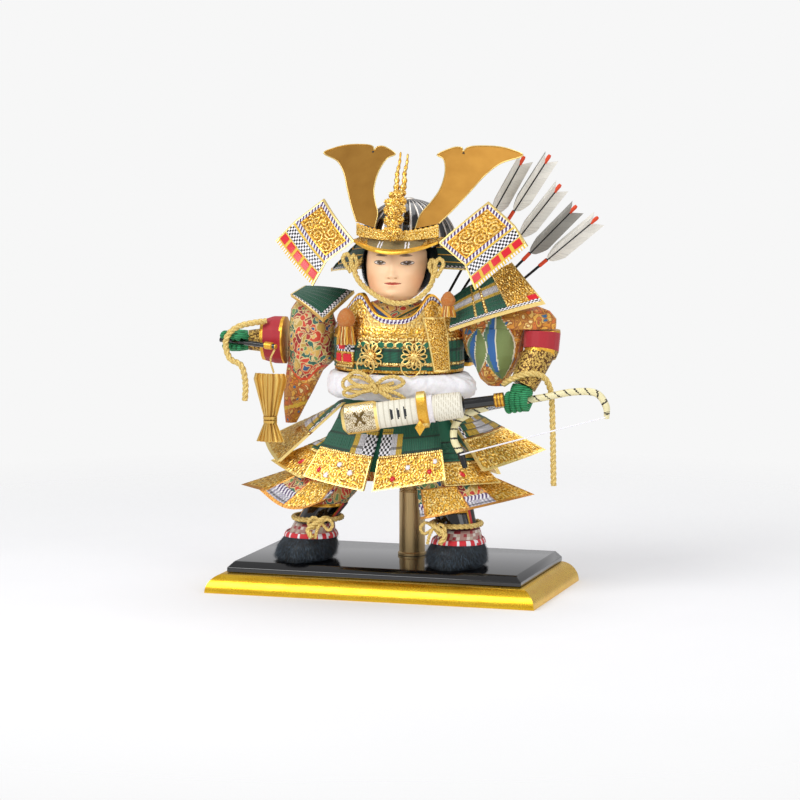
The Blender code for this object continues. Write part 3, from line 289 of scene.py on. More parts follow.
def make_materials():
    # Gilt lacquer: a deep yellow gold with a faint brushed cloud in its shine
    made, shader = surface("gilt_lacquer", 0.24, 0.9)
    cloud = grain(made, 0.05, 2.0, (1, 1, 6))
    link(made, mixed(made, cloud, linear("#E2A616"), linear("#FAD23E")), shader, "Base Color")
    link(made, span(made, grain(made, 1.2, 4.0), 0.2, 0.34), shader, "Roughness")
    # Black lacquer: mirror gloss with slight dust in the roughness
    made, shader = surface("ebony_lacquer", 0.1)
    link(made, mixed(made, grain(made, 0.02), linear("#060607"), linear("#0C0C0E")), shader, "Base Color")
    link(made, span(made, grain(made, 2.0, 5.0), 0.05, 0.13), shader, "Roughness")
    shader.inputs["Coat Weight"].default_value = 0.6
    shader.inputs["Coat Roughness"].default_value = 0.04
    # Brushed bronze: fine upright brush lines
    made, shader = surface("bronze_tube", 0.35, 0.85)
    brush = grain(made, 1.5, 3.0, (1, 1, 0.02))
    link(made, mixed(made, brush, linear("#A4875A"), linear("#E0C692")), shader, "Base Color")
    link(made, span(made, brush, 0.28, 0.5), shader, "Roughness")
    # Stamped gilt: coloured by the piece, with glittering grain on the raised work
    made, shader = surface("stamped_gilt", 0.3, 0.85)
    glint = ramp(made, grain(made, 1.1, 2.0), ((0.35, linear("#B87A1E")), (0.65, linear("#FFE08A"))))
    link(made, mixed(made, 0.22, tint(made), glint), shader, "Base Color")
    link(made, span(made, grain(made, 1.5), 0.2, 0.42), shader, "Roughness")
    bump(made, shader, grain(made, 1.7, 3.0), 0.00022, 0.75)
    # Satin gold of the horns: smooth brown gold, slightly uneven
    made, shader = surface("horn_gold", 0.38, 0.85)
    link(made, mixed(made, grain(made, 0.06), linear("#A67228"), linear("#C99542")), shader, "Base Color")
    link(made, span(made, grain(made, 1.5), 0.3, 0.44), shader, "Roughness")
    bump(made, shader, grain(made, 4.0), 0.00002, 0.3)
    # Gold foil paper of the streamers: bright, with soft creases
    made, shader = surface("gold_foil", 0.3, 0.8)
    crease = grain(made, 0.12, 2.0, (1, 1, 0.15))
    link(made, mixed(made, crease, linear("#C98F2C"), linear("#FBDD84")), shader, "Base Color")
    link(made, span(made, grain(made, 0.8), 0.22, 0.4), shader, "Roughness")
    bump(made, shader, grain(made, 0.5, 2.0, (1, 1, 0.1)), 0.0003, 0.4)
    # Silk braid and cloth strips, coloured by the piece, with a woven sheen
    made, shader = surface("silk_braid", 0.58)
    weave = ramp(made, grain(made, 2.2, 3.0), ((0.3, (0.6, 0.6, 0.6, 1)), (0.7, (1, 1, 1, 1))))
    link(made, mixed(made, 0.6, tint(made), weave, "MULTIPLY"), shader, "Base Color")
    shader.inputs["Sheen Weight"].default_value = 0.2
    bump(made, shader, grain(made, 2.5, 2.0), 0.0002, 0.6)
    # Glossy paint on small trims: checks, squares and stones
    made, shader = surface("painted_trim", 0.3)
    speck = mixed(made, grain(made, 1.0), (0.6, 0.6, 0.6, 1), (1, 1, 1, 1))
    link(made, mixed(made, 0.25, tint(made), speck, "MULTIPLY"), shader, "Base Color")
    link(made, span(made, grain(made, 2.0), 0.2, 0.4), shader, "Roughness")
    # Pale gold twisted rope yarn
    made, shader = surface("rope_yarn", 0.45)
    fibre = grain(made, 2.4, 4.0)
    link(made, ramp(made, fibre, ((0.32, linear("#A8761F")), (0.6, linear("#F8E08E")))), shader, "Base Color")
    shader.inputs["Metallic"].default_value = 0.2
    bump(made, shader, fibre, 0.00025, 0.7)
    # Paisley brocade: flowers in crimson, green, gold and blue with gold thread between
    brocade("paisley_brocade", ("#B0302A", "#C9A24A", "#2F6B5A", "#D8452A", "#8E1F28"),
            ("#E2B659", "#2E5F8C", "#C23A2E", "#6F9A58"), "#E3C98C", 0.15)
    # Gold brocade: orange and gold leaves with copper thread between
    brocade("gold_brocade", ("#E0952C", "#F0B648", "#D9742A", "#EFC468", "#C9882E"),
            ("#F7DC94", "#C2512A", "#E9A63C", "#2F6F9A"), "#A85F22", 0.16)
    # Gilt leather of the cuirass: greyish gold with a pressed grain
    made, shader = surface("gilt_leather", 0.4, 0.55)
    hide = mixed(made, grain(made, 0.9), linear("#A08A4C"), linear("#EBD898"))
    link(made, mixed(made, 0.4, tint(made), hide), shader, "Base Color")
    bump(made, shader, grain(made, 1.6), 0.0003, 0.7)
    # White crepe silk of the sash: soft, finely puckered
    made, shader = surface("white_crepe", 0.7)
    link(made, mixed(made, grain(made, 0.6), linear("#E6E3EA"), linear("#FCFBFD")), shader, "Base Color")
    shader.inputs["Sheen Weight"].default_value = 0.25
    shader.inputs["Subsurface Weight"].default_value = 0.05
    bump(made, shader, grain(made, 2.4, 3.0), 0.0003, 0.6)
    # Gold mail on brown cloth: small rings
    made, shader = surface("gold_mail", 0.45, 0.5)
    where = node(made, "ShaderNodeTexCoord").outputs["Object"]
    rings = node(made, "ShaderNodeTexVoronoi", {"Vector": where, "Scale": 520.0}, feature="F1").outputs["Distance"]
    mesh = ramp(made, rings, ((0.12, linear("#3E2608")), (0.38, linear("#F0C868")), (0.6, linear("#5E3C12"))))
    link(made, mesh, shader, "Base Color")
    bump(made, shader, rings, 0.0004, 0.8)
    # Ribbed green knit of the gloves, darker in the grooves between ribs as painted shade
    made, shader = surface("ribbed_knit", 0.75)
    where = node(made, "ShaderNodeTexCoord").outputs["Object"]
    ribs = node(made, "ShaderNodeTexWave", {"Vector": where, "Scale": 190.0, "Distortion": 1.5, "Detail": 2.0},
                bands_direction="Z").outputs["Fac"]
    link(made, mixed(made, ribs, linear("#0E5A36"), linear("#35A468")), shader, "Base Color")
    bump(made, shader, ribs, 0.0005, 0.8)
    # Powdered face: matt peach, warmer on the cheeks
    made, shader = surface("face_powder", 0.45)
    powder = mixed(made, grain(made, 0.5), linear("#EEBE92"), linear("#FFDCBC"))
    link(made, mixed(made, 0.1, tint(made), powder), shader, "Base Color")
    shader.inputs["Subsurface Weight"].default_value = 0.06
    shader.inputs["Subsurface Scale"].default_value = 0.001
    # Black horsehair and fur with a blue cast
    made, shader = surface("black_hair", 0.55)
    strand = mixed(made, grain(made, 0.8), linear("#05070A"), linear("#2A3742"))
    link(made, mixed(made, 0.3, tint(made), strand), shader, "Base Color")
    # Feather vanes and shafts, coloured by the piece, with fine barbs across
    made, shader = surface("feather_vane", 0.7)
    barbs = ramp(made, grain(made, 1.6, 3.0, (1, 1, 4)), ((0.3, (0.72, 0.72, 0.72, 1)), (0.6, (1, 1, 1, 1))))
    link(made, mixed(made, 0.6, tint(made), barbs, "MULTIPLY"), shader, "Base Color")
    # Wrapped cane of the bow and its string: glossy, faintly flecked
    made, shader = surface("cane_wrap", 0.35)
    fleck = mixed(made, grain(made, 1.0), (0.65, 0.65, 0.65, 1), (1, 1, 1, 1))
    link(made, mixed(made, 0.25, tint(made), fleck, "MULTIPLY"), shader, "Base Color")
    # Pale backdrop paper that ends softly in the white round it
    made, shader = surface("backdrop_paper", 0.9)
    link(made, mixed(made, grain(made, 0.003), linear("#ECECEE"), linear("#F6F6F7")), shader, "Base Color")
    where = node(made, "ShaderNodeTexCoord").outputs["Object"]
    away = node(made, "ShaderNodeVectorMath", {0: where}, operation="LENGTH").outputs["Value"]
    far = node(made, "ShaderNodeMapRange", {"Value": away, "From Min": 0.28, "From Max": 0.95}).outputs["Result"]
    seen = node(made, "ShaderNodeLightPath").outputs["Is Camera Ray"]
    fade = node(made, "ShaderNodeMath", {0: far, 1: seen}, operation="MULTIPLY").outputs[0]
    clear = node(made, "ShaderNodeBsdfTransparent").outputs[0]
    both = node(made, "ShaderNodeMixShader", {0: fade, 1: shader.outputs[0], 2: clear})
    made.node_tree.links.new(both.outputs[0], made.node_tree.nodes["Material Output"].inputs["Surface"])


def brocade(name, grounds, hearts, thread, per_mm):
    """Woven cloth: cells of flat colour, each with a ringed heart, outlined in thread under a fine twill."""
    made, shader = surface(name, 0.55)
    where = node(made, "ShaderNodeTexCoord").outputs["Object"]
    stirred = node(made, "ShaderNodeTexNoise", {"Vector": where, "Scale": 110.0, "Detail": 1.0}).outputs["Color"]
    bent = mixed(made, 0.01, where, stirred)
    cells = node(made, "ShaderNodeTexVoronoi", {"Vector": bent, "Scale": per_mm * 1000}, feature="F1")
    edges = node(made, "ShaderNodeTexVoronoi", {"Vector": bent, "Scale": per_mm * 1000}, feature="DISTANCE_TO_EDGE")
    parts = node(made, "ShaderNodeSeparateColor", {"Color": cells.outputs["Color"]})
    ground = ramp(made, parts.outputs["Red"], [(i / len(grounds), linear(c)) for i, c in enumerate(grounds)], True)
    heart = ramp(made, parts.outputs["Green"], [(i / len(hearts), linear(c)) for i, c in enumerate(hearts)], True)
    near = cells.outputs["Distance"]
    spot = node(made, "ShaderNodeMath", {0: near, 1: 0.3}, operation="LESS_THAN").outputs[0]
    ring = node(made, "ShaderNodeMath", {0: near, 1: 0.36, 2: 0.045}, operation="COMPARE").outputs[0]
    line = node(made, "ShaderNodeMath", {0: edges.outputs["Distance"], 1: 0.05}, operation="LESS_THAN").outputs[0]
    cloth = mixed(made, spot, ground, heart)
    cloth = mixed(made, ring, cloth, linear(thread))
    cloth = mixed(made, line, cloth, linear(thread))
    twill = ramp(made, grain(made, 2.0, 2.0), ((0.3, (0.62, 0.62, 0.62, 1)), (0.65, (1, 1, 1, 1))))
    link(made, mixed(made, 0.7, cloth, twill, "MULTIPLY"), shader, "Base Color")
    shader.inputs["Sheen Weight"].default_value = 0.15
    bump(made, shader, grain(made, 2.4), 0.0002, 0.7)


# ---------------------------------------------------------------- shape helpers


def mirrored(side):
    return -1.0 if side == "right" else 1.0


def lerp(a, b, t):
    return a + (b - a) * t


def smooth(t):
    t = min(1.0, max(0.0, t))
    return t * t * (3 - 2 * t)


def blend(a, b, t):
    return [lerp(x, y, t) for x, y in zip(a, b)]


def finish(name, bm, made_of, replaced=(), sharp=40.0, keep_normals=False):
    """The bmesh as a finished piece that rides on the doll."""
    if not keep_normals:
        bmesh.ops.recalc_face_normals(bm, faces=bm.faces[:])
    mesh = bpy.data.meshes.new(name)
    bm.to_mesh(mesh)
    bm.free()
    for material in [made_of] if isinstance(made_of, str) else made_of:
        mesh.materials.append(bpy.data.materials[material])
    mesh.shade_smooth()
    mesh.set_sharp_from_angle(angle=math.radians(sharp))
    piece = bpy.data.objects.new(name, mesh)
    bpy.context.scene.collection.objects.link(piece)
    if replaced:
        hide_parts(*replaced)
    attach(piece, "root")
    return piece


def skin(rings, ring=False):
    """A grid laid over rings of equal counts, with its seam merged and its ends filled."""
    rows = rings + rings[:1] if ring else rings
    sides, last = len(rings[0]), len(rows) - 1
    bm = bmesh.new()
    bmesh.ops.create_grid(bm, x_segments=sides, y_segments=last, size=0.5)
    for vert in bm.verts:
        vert.co = rows[round((vert.co.y + 0.5) * last)][round((vert.co.x + 0.5) * sides) % sides]
    bmesh.ops.remove_doubles(bm, verts=bm.verts[:], dist=0.000001)
    if not ring:
        bmesh.ops.holes_fill(bm, edges=[e for e in bm.edges if e.is_boundary], sides=sides)
    bmesh.ops.recalc_face_normals(bm, faces=bm.faces[:])
    return bm


def puffed(bm, voxel, limit):
    """The closed form blown up by Cloth pressure, no point moving further than limit(its start)."""
    mesh = bpy.data.meshes.new("pad")
    bm.to_mesh(mesh)
    bm.free()
    pad = bpy.data.objects.new("pad", mesh)
    scene = bpy.context.scene
    scene.collection.objects.link(pad)
    even = pad.modifiers.new("even", "REMESH")
    even.mode = "VOXEL"
    even.voxel_size = voxel
    pad.data = bpy.data.meshes.new_from_object(pad.evaluated_get(bpy.context.evaluated_depsgraph_get()))
    pad.modifiers.remove(even)
    bpy.data.meshes.remove(mesh)
    cloth = pad.modifiers.new("puff", "CLOTH")
    cloth.settings.use_pressure = True
    cloth.settings.uniform_pressure_force = PUFF_PRESSURE
    cloth.settings.effector_weights.gravity = 0.0
    for moment in range(1, PUFF_FRAMES + 1):
        scene.frame_set(moment)
    blown = pad.evaluated_get(bpy.context.evaluated_depsgraph_get()).data
    ends = [vert.co.copy() for vert in blown.vertices]
    bm = bmesh.new()
    bm.from_mesh(pad.data)
    for vert, end in zip(bm.verts, ends):
        step = end - vert.co
        vert.co += step * min(1.0, limit(vert.co) / max(step.length, 0.000001))
    bmesh.ops.smooth_vert(bm, verts=bm.verts[:], factor=0.5, use_axis_x=True, use_axis_y=True, use_axis_z=True)
    mesh = pad.data
    bpy.data.objects.remove(pad)
    bpy.data.meshes.remove(mesh)
    scene.frame_set(1)
    bm.normal_update()
    return bm


def circle_steps(count):
    """Angles of a full turn in even steps."""
    return [2 * math.pi * i / count for i in range(count)]


def turned(profile, steps):
    bm = bmesh.new()
    verts = [bm.verts.new((radius, 0.0, height)) for radius, height in profile]
    edges = [bm.edges.new((a, b)) for a, b in zip(verts, verts[1:] + verts[:1])]
    bmesh.ops.spin(bm, geom=verts + edges, cent=(0, 0, 0), axis=(0, 0, 1), angle=2 * math.pi, steps=steps,
                   use_merge=True)
    bmesh.ops.remove_doubles(bm, verts=bm.verts[:], dist=0.000005)
    return bm


def reshape(bm, place):
    for vert in bm.verts:
        vert.co = place(vert.co.copy())
    return bm


def paint(bm, look):
    """Colours each face and sets its material: look(face) gives (colour, slot)."""
    layer = bm.loops.layers.float_color.new("tint")
    for face in bm.faces:
        colour, slot = look(face)
        face.material_index = slot
        for loop in face.loops:
            loop[layer] = colour
    return bm


def relief_sheet(columns, rows, place, look, thickness):
    """A slab whose front carries relief and colour. look(u, v) gives (height, colour, slot)."""
    bm = bmesh.new()
    bmesh.ops.create_grid(bm, x_segments=columns, y_segments=rows, size=0.5)
    front = bm.faces[:]
    grown = bmesh.ops.extrude_face_region(bm, geom=front, use_keep_orig=True)
    for vert in (g for g in grown["geom"] if isinstance(g, bmesh.types.BMVert)):
        vert.co.z = 1.0
    layer = bm.loops.layers.float_color.new("tint")
    for face in bm.faces:
        middle = face.calc_center_median()
        _, colour, slot = look(middle.x + 0.5, middle.y + 0.5)
        face.material_index = slot
        for loop in face.loops:
            loop[layer] = colour
    for vert in bm.verts:
        u, v = vert.co.x + 0.5, vert.co.y + 0.5
        height = look(u, v)[0] if vert.co.z > 0.5 else 0.0
        vert.co = place(u, v, vert.co.z * (thickness + height))
    return bm


def smooth_route(points, steps):
    points = [Vector(p) for p in points]
    ends = [2 * points[0] - points[1], *points, 2 * points[-1] - points[-2]]
    route = []
    for a, b, c, d in zip(ends, ends[1:], ends[2:], ends[3:]):
        for i in range(steps):
            t = i / steps
            route.append(0.5 * (2 * b + (c - a) * t + (2 * a - 5 * b + 4 * c - d) * t * t
                                + (3 * b - a - 3 * c + d) * t * t * t))
    return route + [points[-1]]


def frames_along(route):
    """A steady pair of cross directions at each point of a route."""
    frames = []
    across = None
    for before, after in zip([route[0]] + route[:-1], route[1:] + [route[-1]]):
        along = (after - before).normalized()
        if across is None:
            across = along.orthogonal().normalized()
        across = (across - along * across.dot(along)).normalized()
        frames.append((across, along.cross(across)))
    return frames


def even_route(points, step):
    """The smooth route resampled at an even step."""
    dense = smooth_route(points, 12)
    out, left = [dense[0]], step
    for a, b in zip(dense, dense[1:]):
        length = (b - a).length
        while length >= left:
            a = a.lerp(b, left / length)
            out.append(a.copy())
            length -= left
            left = step
        left -= length
    if (out[-1] - dense[-1]).length > step * 0.3:
        out.append(dense[-1])
    return out


def rope(points, radius, pitch=None):
    """Strands twisted along a route, each a thin tube with closed ends."""
    pitch = pitch or radius * fine.rope_turn
    route = even_route(points, radius * ROPE_STEP)
    frames = frames_along(route)
    spacing = (route[1] - route[0]).length
    thin = radius * STRAND_RADIUS
    parts = []
    for strand in range(ROPE_STRANDS):
        rings = []
        for number, (point, (across, up)) in enumerate(zip(route, frames)):
            turn = 2 * math.pi * (number * spacing / pitch + strand / ROPE_STRANDS)
            centre = point + (across * math.cos(turn) + up * math.sin(turn)) * (radius - thin)
            fat = thin * (0.8 if number in (0, len(route) - 1) else 1.0)
            rings.append(circle(centre, across, up, fat, STRAND_SIDES))
        parts.append(skin(rings))
    return join(parts)


def rope_piece(name, bm, *replaced):
    """A rope, or several joined, as one piece of gold cord."""
    return finish(name, bm, "rope_yarn", replaced, 60, True)


def circle(centre, across, up, radius, sides):
    return [centre + (across * math.cos(t) + up * math.sin(t)) * radius for t in circle_steps(sides)]


def tube(route, radii, sides):
    return skin([circle(p, *f, r, sides) for p, f, r in zip(route, frames_along(route), radii)])


def join(parts):
    whole = bmesh.new()
    for part in parts:
        mesh = bpy.data.meshes.new("part")
        part.to_mesh(mesh)
        part.free()
        whole.from_mesh(mesh)
        bpy.data.meshes.remove(mesh)
    return whole


# ---------------------------------------------------------------- ornament


def scrolls(x, y, pitch=0.0085):
    """Height 0 to 1 of scrollwork at a place in metres: turning tendrils on a staggered lattice."""
    row = round(y / pitch)
    best = None
    for shift in (-1, 0, 1):
        r = row + shift
        offset = 0.5 * pitch * (r % 2)
        column = round((x - offset) / pitch)
        cx, cy = column * pitch + offset, r * pitch
        distance = math.hypot(x - cx, y - cy)
        if best is None or distance < best[0]:
            best = (distance, cx, cy, (column + r) % 2)
    distance, cx, cy, hand = best
    angle = math.atan2(y - cy, x - cx) * (1 if hand else -1)
    curl = 0.5 + 0.5 * math.cos(2 * math.pi * distance / (pitch * 0.28) - angle)
    ripple = 0.5 + 0.5 * math.sin(x * 2100 + 3 * math.sin(y * 900)) * math.sin(y * 1900)
    return smooth(0.15 + 0.8 * curl * (0.75 + 0.25 * ripple))


def gilt_look(x, y, rise=0.0009, pitch=0.0085):
    """Crumpled scrollwork in gold, with painted highlight on the ridges and painted shade in the hollows."""
    rough = noise.noise(Vector((x * 620, y * 620, 3.0))) + 0.5 * noise.noise(Vector((x * 1500, y * 1500, 9.0)))
    h = smooth(0.45 * scrolls(x, y, pitch) + 0.3 + 0.42 * rough)
    return rise * h, hue.pale_gold_and_highlight if h > 0.74 else blend(hue.shaded_gold, hue.gold, smooth(h * 1.75 - 0.12)), 0


def braid_look(x, y, colour, pitch=0.0021, lame=0.0052):
    """Upright braids of one colour in staggered stitches, one lame under the other, with painted shade at each
    braid's sides, along the slanted stitches and in the strip under the lame above.
    """
    across = abs(math.sin(math.pi * x / pitch))
    step = (y / lame) % 1.0
    slant = 0.8 + 0.2 * math.sin(2 * math.pi * (x / pitch + y / 0.0026))
    gap = 1.0 if step > 0.14 else 0.25
    height = 0.0007 * across ** 0.6 * gap + 0.0009 * (1 - step)
    # shade is painted shade: darker at the braid's sides and along its slanted stitches, darkest under the lame
    # above.
    shade = (0.35 + 0.65 * across ** 0.7) * slant * (1.0 if step > 0.14 else 0.35)
    return height, [c * shade for c in colour[:3]] + [1.0], 1


def check_look(x, y, cell=None):
    cell = cell or fine.check_cell
    odd = (math.floor(x / cell) + math.floor(y / cell)) % 2
    return 0.0006 + 0.0002 * odd, hue.white if odd else hue.black, 2


def dotted_look(x, y):
    """Slanted white dots on a purple braid."""
    odd = math.sin(2 * math.pi * (x / 0.0036 + y / 0.0050)) > 0.1
    return 0.0009, hue.white if odd else hue.purple, 1


def bead_look(x, y, pitch=0.0022):
    """One row of beads along x, centred on y = 0: pale beads, with painted shade in the gaps between them."""
    near = math.hypot((x / pitch) % 1.0 - 0.5, y / pitch)
    return (0.0013, hue.pale_gold_and_highlight, 0) if near < 0.42 else (0.0004, hue.shaded_gold, 0)


def lozenge_look(x, y, centre, half):
    """Laced rows whose colours step outwards from a centre: a pale heart, yellow round it, green beyond."""
    row = (math.floor(y / LOZENGE_ROW) + 0.5) * LOZENGE_ROW
    reach = abs(x - centre[0]) / half[0] + abs(row - centre[1]) / half[1]
    if reach < 0.42:
        # The white laces of the heart are parted by stripes of painted shade.
        return braid_look(x, y, hue.white if (x / 0.0016) % 1.0 < 0.7 else hue.lace_gap_shade, 0.0016, LOZENGE_ROW)
    return braid_look(x, y, hue.yellow if reach < 0.85 else hue.green, 0.0018, LOZENGE_ROW)


def gem_near(x, y, spots):
    """The stone at a place, if one of the spots (x, y, colour) covers it."""
    for cx, cy, colour in spots:
        near = math.hypot(x - cx, y - cy)
        if near < GEM_RADIUS:
            return 0.0010 + 0.0016 * math.sqrt(max(0.0, 1 - (near / GEM_RADIUS) ** 2)), colour, 2
    return None


def body_half(z):
    levels = (
        (CORE_BOTTOM_Z, HEM),
        (0.135, (0.065, 0.046)),
        (0.165, (0.053, 0.036)),
        (0.176, WAIST),
        (0.198, WAIST),
        (0.225, CHEST),
        (0.243, (0.050, 0.034)),
        (SHOULDER_Z, (0.030, 0.024)),
        (NECK_Z, (0.018, 0.017)),
    )
    for (low, a), (high, b) in zip(levels, levels[1:]):
        if z <= high:
            t = max(0.0, (z - low) / (high - low))
            return a[0] + (b[0] - a[0]) * t, a[1] + (b[1] - a[1]) * t
    return levels[-1][1]


def body_rings(low, high, count):
    """Level rings of the body from one height to another."""
    rings = []
    for i in range(count + 1):
        z = lerp(low, high, i / count)
        half_width, half_depth = body_half(z)
        rings.append([Vector((BODY_CENTRE.x + half_width * math.cos(t), BODY_CENTRE.y + half_depth * math.sin(t), z))
                      for t in circle_steps(64)])
    return rings


def around_body(angle, z, clear):
    half_width, half_depth = body_half(z)
    return BODY_CENTRE + Vector(((half_width + clear) * math.sin(angle), -(half_depth + clear) * math.cos(angle), z))


def cuirass_point(angle, z, out):
    lean = max(0.0, z - 0.235) * 0.25
    wall = CUIRASS_CLEAR + CUIRASS_WALL
    half_width, half_depth = CHEST[0] + wall - lean, CHEST[1] + wall - lean
    return BODY_CENTRE + Vector(((half_width + out) * math.sin(angle), -(half_depth + out) * math.cos(angle), z))


def cuirass_top(angle):
    turn = abs(math.degrees(angle - FRONT_TURN))
    if turn < 90:
        hump = math.exp(-(((turn - 40) / 17) ** 2))
        return CUIRASS_FRONT_Z + CUIRASS_HUMP * hump - 0.014 * max(0.0, (turn - 62) / 28)
    return CUIRASS_FRONT_Z - 0.014 + 0.016 * min(1.0, (turn - 90) / 45)


# ---------------------------------------------------------------- stand, feet and legs


def dress_stand():
    half = BOARD_WIDTH / 2
    front, back = -BOARD_DEPTH / 2, BOARD_DEPTH / 2

    def box_ring(side, low, high, z):
        return [Vector((-side, low, z)), Vector((side, low, z)), Vector((side, high, z)), Vector((-side, high, z))]

    rings = []
    for step in range(17):
        t = math.pi / 2 * step / 16
        inset = BOARD_NOSE * (1 - math.cos(t))
        rings.append(box_ring(half - inset, front + inset, back, BOARD_NOSE * math.sin(t)))
    finish("board_gold", skin(rings), "gilt_lacquer", ("stand_lower_board",), 20)
    bottom = BOARD_NOSE + GAP
    rings = []
    for inset, z in ((0.0, bottom), (0.0, STAND_TOP - TOP_BOARD_CHAMFER), (TOP_BOARD_CHAMFER, STAND_TOP)):
        rings.append(box_ring(half - TOP_BOARD_INSET - inset, front + TOP_BOARD_INSET + inset, back - inset / 2, z))
    bm = skin(rings)
    bmesh.ops.bevel(bm, geom=bm.edges[:], offset=0.0005, segments=2, profile=0.5, affect="EDGES", material=-1)
    finish("board_black", bm, "ebony_lacquer", ("stand_upper_board",), 20)
    low, top = STAND_TOP + GAP, CORE_BOTTOM_Z - SEAT
    ring = top - POST_RING_HEIGHT
    foot = POST_RADIUS + 0.0012
    profile = [(0.0, low), (foot, low), (foot, low + 0.002), (POST_RADIUS, low + 0.003)]
    for drop in (-0.0016, 0.0, 0.0016):
        z = ring + drop
        groove = POST_RADIUS - 0.0007
        profile += [(POST_RADIUS, z - 0.0007), (groove, z - 0.0002), (groove, z + 0.0002), (POST_RADIUS, z + 0.0007)]
    profile += [(POST_RADIUS, top), (0.0, top)]
    place = Vector((*POST_PLACE, 0.0))
    bm = reshape(turned(profile, 48), lambda p: p + place)
    finish("post_bronze", bm, "bronze_tube", ("support_post",), 25)


SHOE_BAND_RISE = 0.0225
SHOE_LEVELS = (
    (0.000, 0.88, 0.93, 0.0),
    (0.006, 1.00, 1.00, 0.0),
    (0.014, 0.98, 0.94, 0.001),
    (0.021, 0.86, 0.78, 0.004),
    (0.0235, 0.80, 0.70, 0.0065),
    (0.0265, 0.77, 0.62, 0.008),
    (0.0325, 0.70, 0.52, 0.009),
)


def shoe_point(side, rise, turn, out=0.0):
    foot, hip = FEET[side], HIPS[side]
    for (low, *a), (high, *b) in zip(SHOE_LEVELS, SHOE_LEVELS[1:]):
        if rise <= high:
            break
    t = min(1.0, max(0.0, (rise - low) / (high - low)))
    wide, long, back = (lerp(x, y, t) for x, y in zip(a, b))
    share = rise / (ANKLE_Z - STAND_TOP)
    x = foot.x - 0.003 * (1 - share) + (hip.x - foot.x) * 0.12 * share
    width = SHOE_HALF_WIDTH * wide + out
    length = SHOE_HALF_LENGTH * long + out
    return Vector((x + width * math.cos(turn), foot.y + back + length * math.sin(turn), STAND_TOP + GAP + rise))


def dress_shoe(side):
    heights = [0.0325 * i / 13 for i in range(14)]
    rings = [[shoe_point(side, h, t, -0.0006) for t in circle_steps(40)] for h in heights]
    bm = skin(rings)
    tones = [linear(c) for c in ("#06090C", "#0D1318", "#1A232B", "#34434F", "#4E6070")]
    cloth = [linear(c) for c in ("#C9B9A8", "#B98F86", "#A3303A", "#E4DCD2")]

    def look(face):
        middle = face.calc_center_median()
        if middle.z < STAND_TOP + 0.0235:
            return tones[1], 0
        spot = noise.noise(middle * 420) + 0.5
        return cloth[min(3, max(0, int(spot * 4)))], 1

    paint(bm, look)
    layer = bm.loops.layers.float_color["tint"]
    chance = random.Random(7 if side == "right" else 8)
    for _ in range(fine.fur_strands):
        rise = 0.023 * chance.random() ** 0.8
        turn = 2 * math.pi * chance.random()
        root = shoe_point(side, rise, turn, -0.0006)
        out = (shoe_point(side, rise, turn, 0.004) - root).normalized()
        down = Vector((chance.uniform(-0.5, 0.5), chance.uniform(-0.5, 0.5), -0.9 if rise > 0.004 else 0.2))
        tip = root + (out * 0.6 + down * 0.8).normalized() * chance.uniform(0.45, 1.0) * fine.fur_length
        tip.z = max(tip.z, STAND_TOP + GAP)
        wide = out.cross(Vector((0, 0, 1))).normalized() * 0.0002
        face = bm.faces.new([bm.verts.new(p) for p in (root - wide, root + wide, tip)])
        tone = chance.choice(tones)
        for loop in face.loops:
            loop[layer] = tone
    finish(f"{side}_fur_shoe", bm, ("black_hair", "silk_braid"), (f"{side}_shoe",), 60, True)
    rings = []
    for turn in circle_steps(72):
        point = shoe_point(side, SHOE_BAND_RISE, turn, 0.0008)
        out = (point - shoe_point(side, SHOE_BAND_RISE, turn, -0.01)).normalized()
        up = Vector((0, 0, 1)) + out * -0.35
        rings.append([point + out * 0.0009 * math.cos(t) + up * 0.0025 * math.sin(t) for t in circle_steps(8)])
    bm = skin(rings, ring=True)

    def dashed(face):
        tip = shoe_point(side, SHOE_BAND_RISE, 0.0)
        middle = face.calc_center_median() - tip + Vector((SHOE_HALF_WIDTH * 0.8, 0, 0))
        share = (math.atan2(middle.y * 1.1, middle.x) / (2 * math.pi)) % 1.0
        return hue.white if (share * 18) % 1.0 < 0.3 else hue.red, 0

    paint(bm, dashed)
    finish(f"{side}_shoe_band", bm, "silk_braid", (), 60)


def leg_centre(side, z):
    foot, hip = FEET[side], HIPS[side]
    ankle = Vector((foot.x + (hip.x - foot.x) * 0.15, foot.y + 0.006, 0.0))
    return ankle.lerp(hip, (z - ANKLE_Z) / (CORE_BOTTOM_Z - ANKLE_Z))


def dress_leg(side):
    bottom = ANKLE_Z + SEAT
    top = CORE_BOTTOM_Z - SEAT
    guard = bottom + 0.017
    rings = []
    for i in range(33):
        z = lerp(bottom, top, i / 32)
        axis = leg_centre(side, z)
        ring = []
        for t in circle_steps(64):
            if z < guard:
                radius = LEG_RADIUS * (0.9 + 0.12 * (z - bottom) / (guard - bottom))
                radius += 0.0004 * abs(math.cos(6 * t))
            else:
                puff = math.sin(math.pi * (z - guard) / (top - guard))
                radius = LEG_RADIUS * (0.96 + 0.07 * puff) + 0.0006 * math.sin(9 * t + 500 * z)
            ring.append(Vector((axis.x + radius * math.cos(t), axis.y + radius * math.sin(t), z)))
        rings.append(ring)
    bm = skin(rings)

    def look(face):
        middle = face.calc_center_median()
        axis = leg_centre(side, middle.z)
        turn = math.degrees(math.atan2(middle.x - axis.x, -(middle.y - axis.y)))
        if middle.z > guard:
            return hue.white, 0
        if abs(turn) > 62:
            return (hue.red, 1) if abs(turn) < 74 else (hue.dark, 1)
        if middle.z > guard - 0.0022 or abs(abs(turn) - 58) < 4:
            return hue.gold, 3
        return hue.black, 2

    bmesh.ops.triangulate(bm, faces=[f for f in bm.faces if len(f.verts) > 4])
    shown = ("paisley_brocade", "silk_braid", "ebony_lacquer", "stamped_gilt")
    finish(f"{side}_shin", paint(bm, look), shown, (f"{side}_leg",), 50)
    ankle_rope(side)


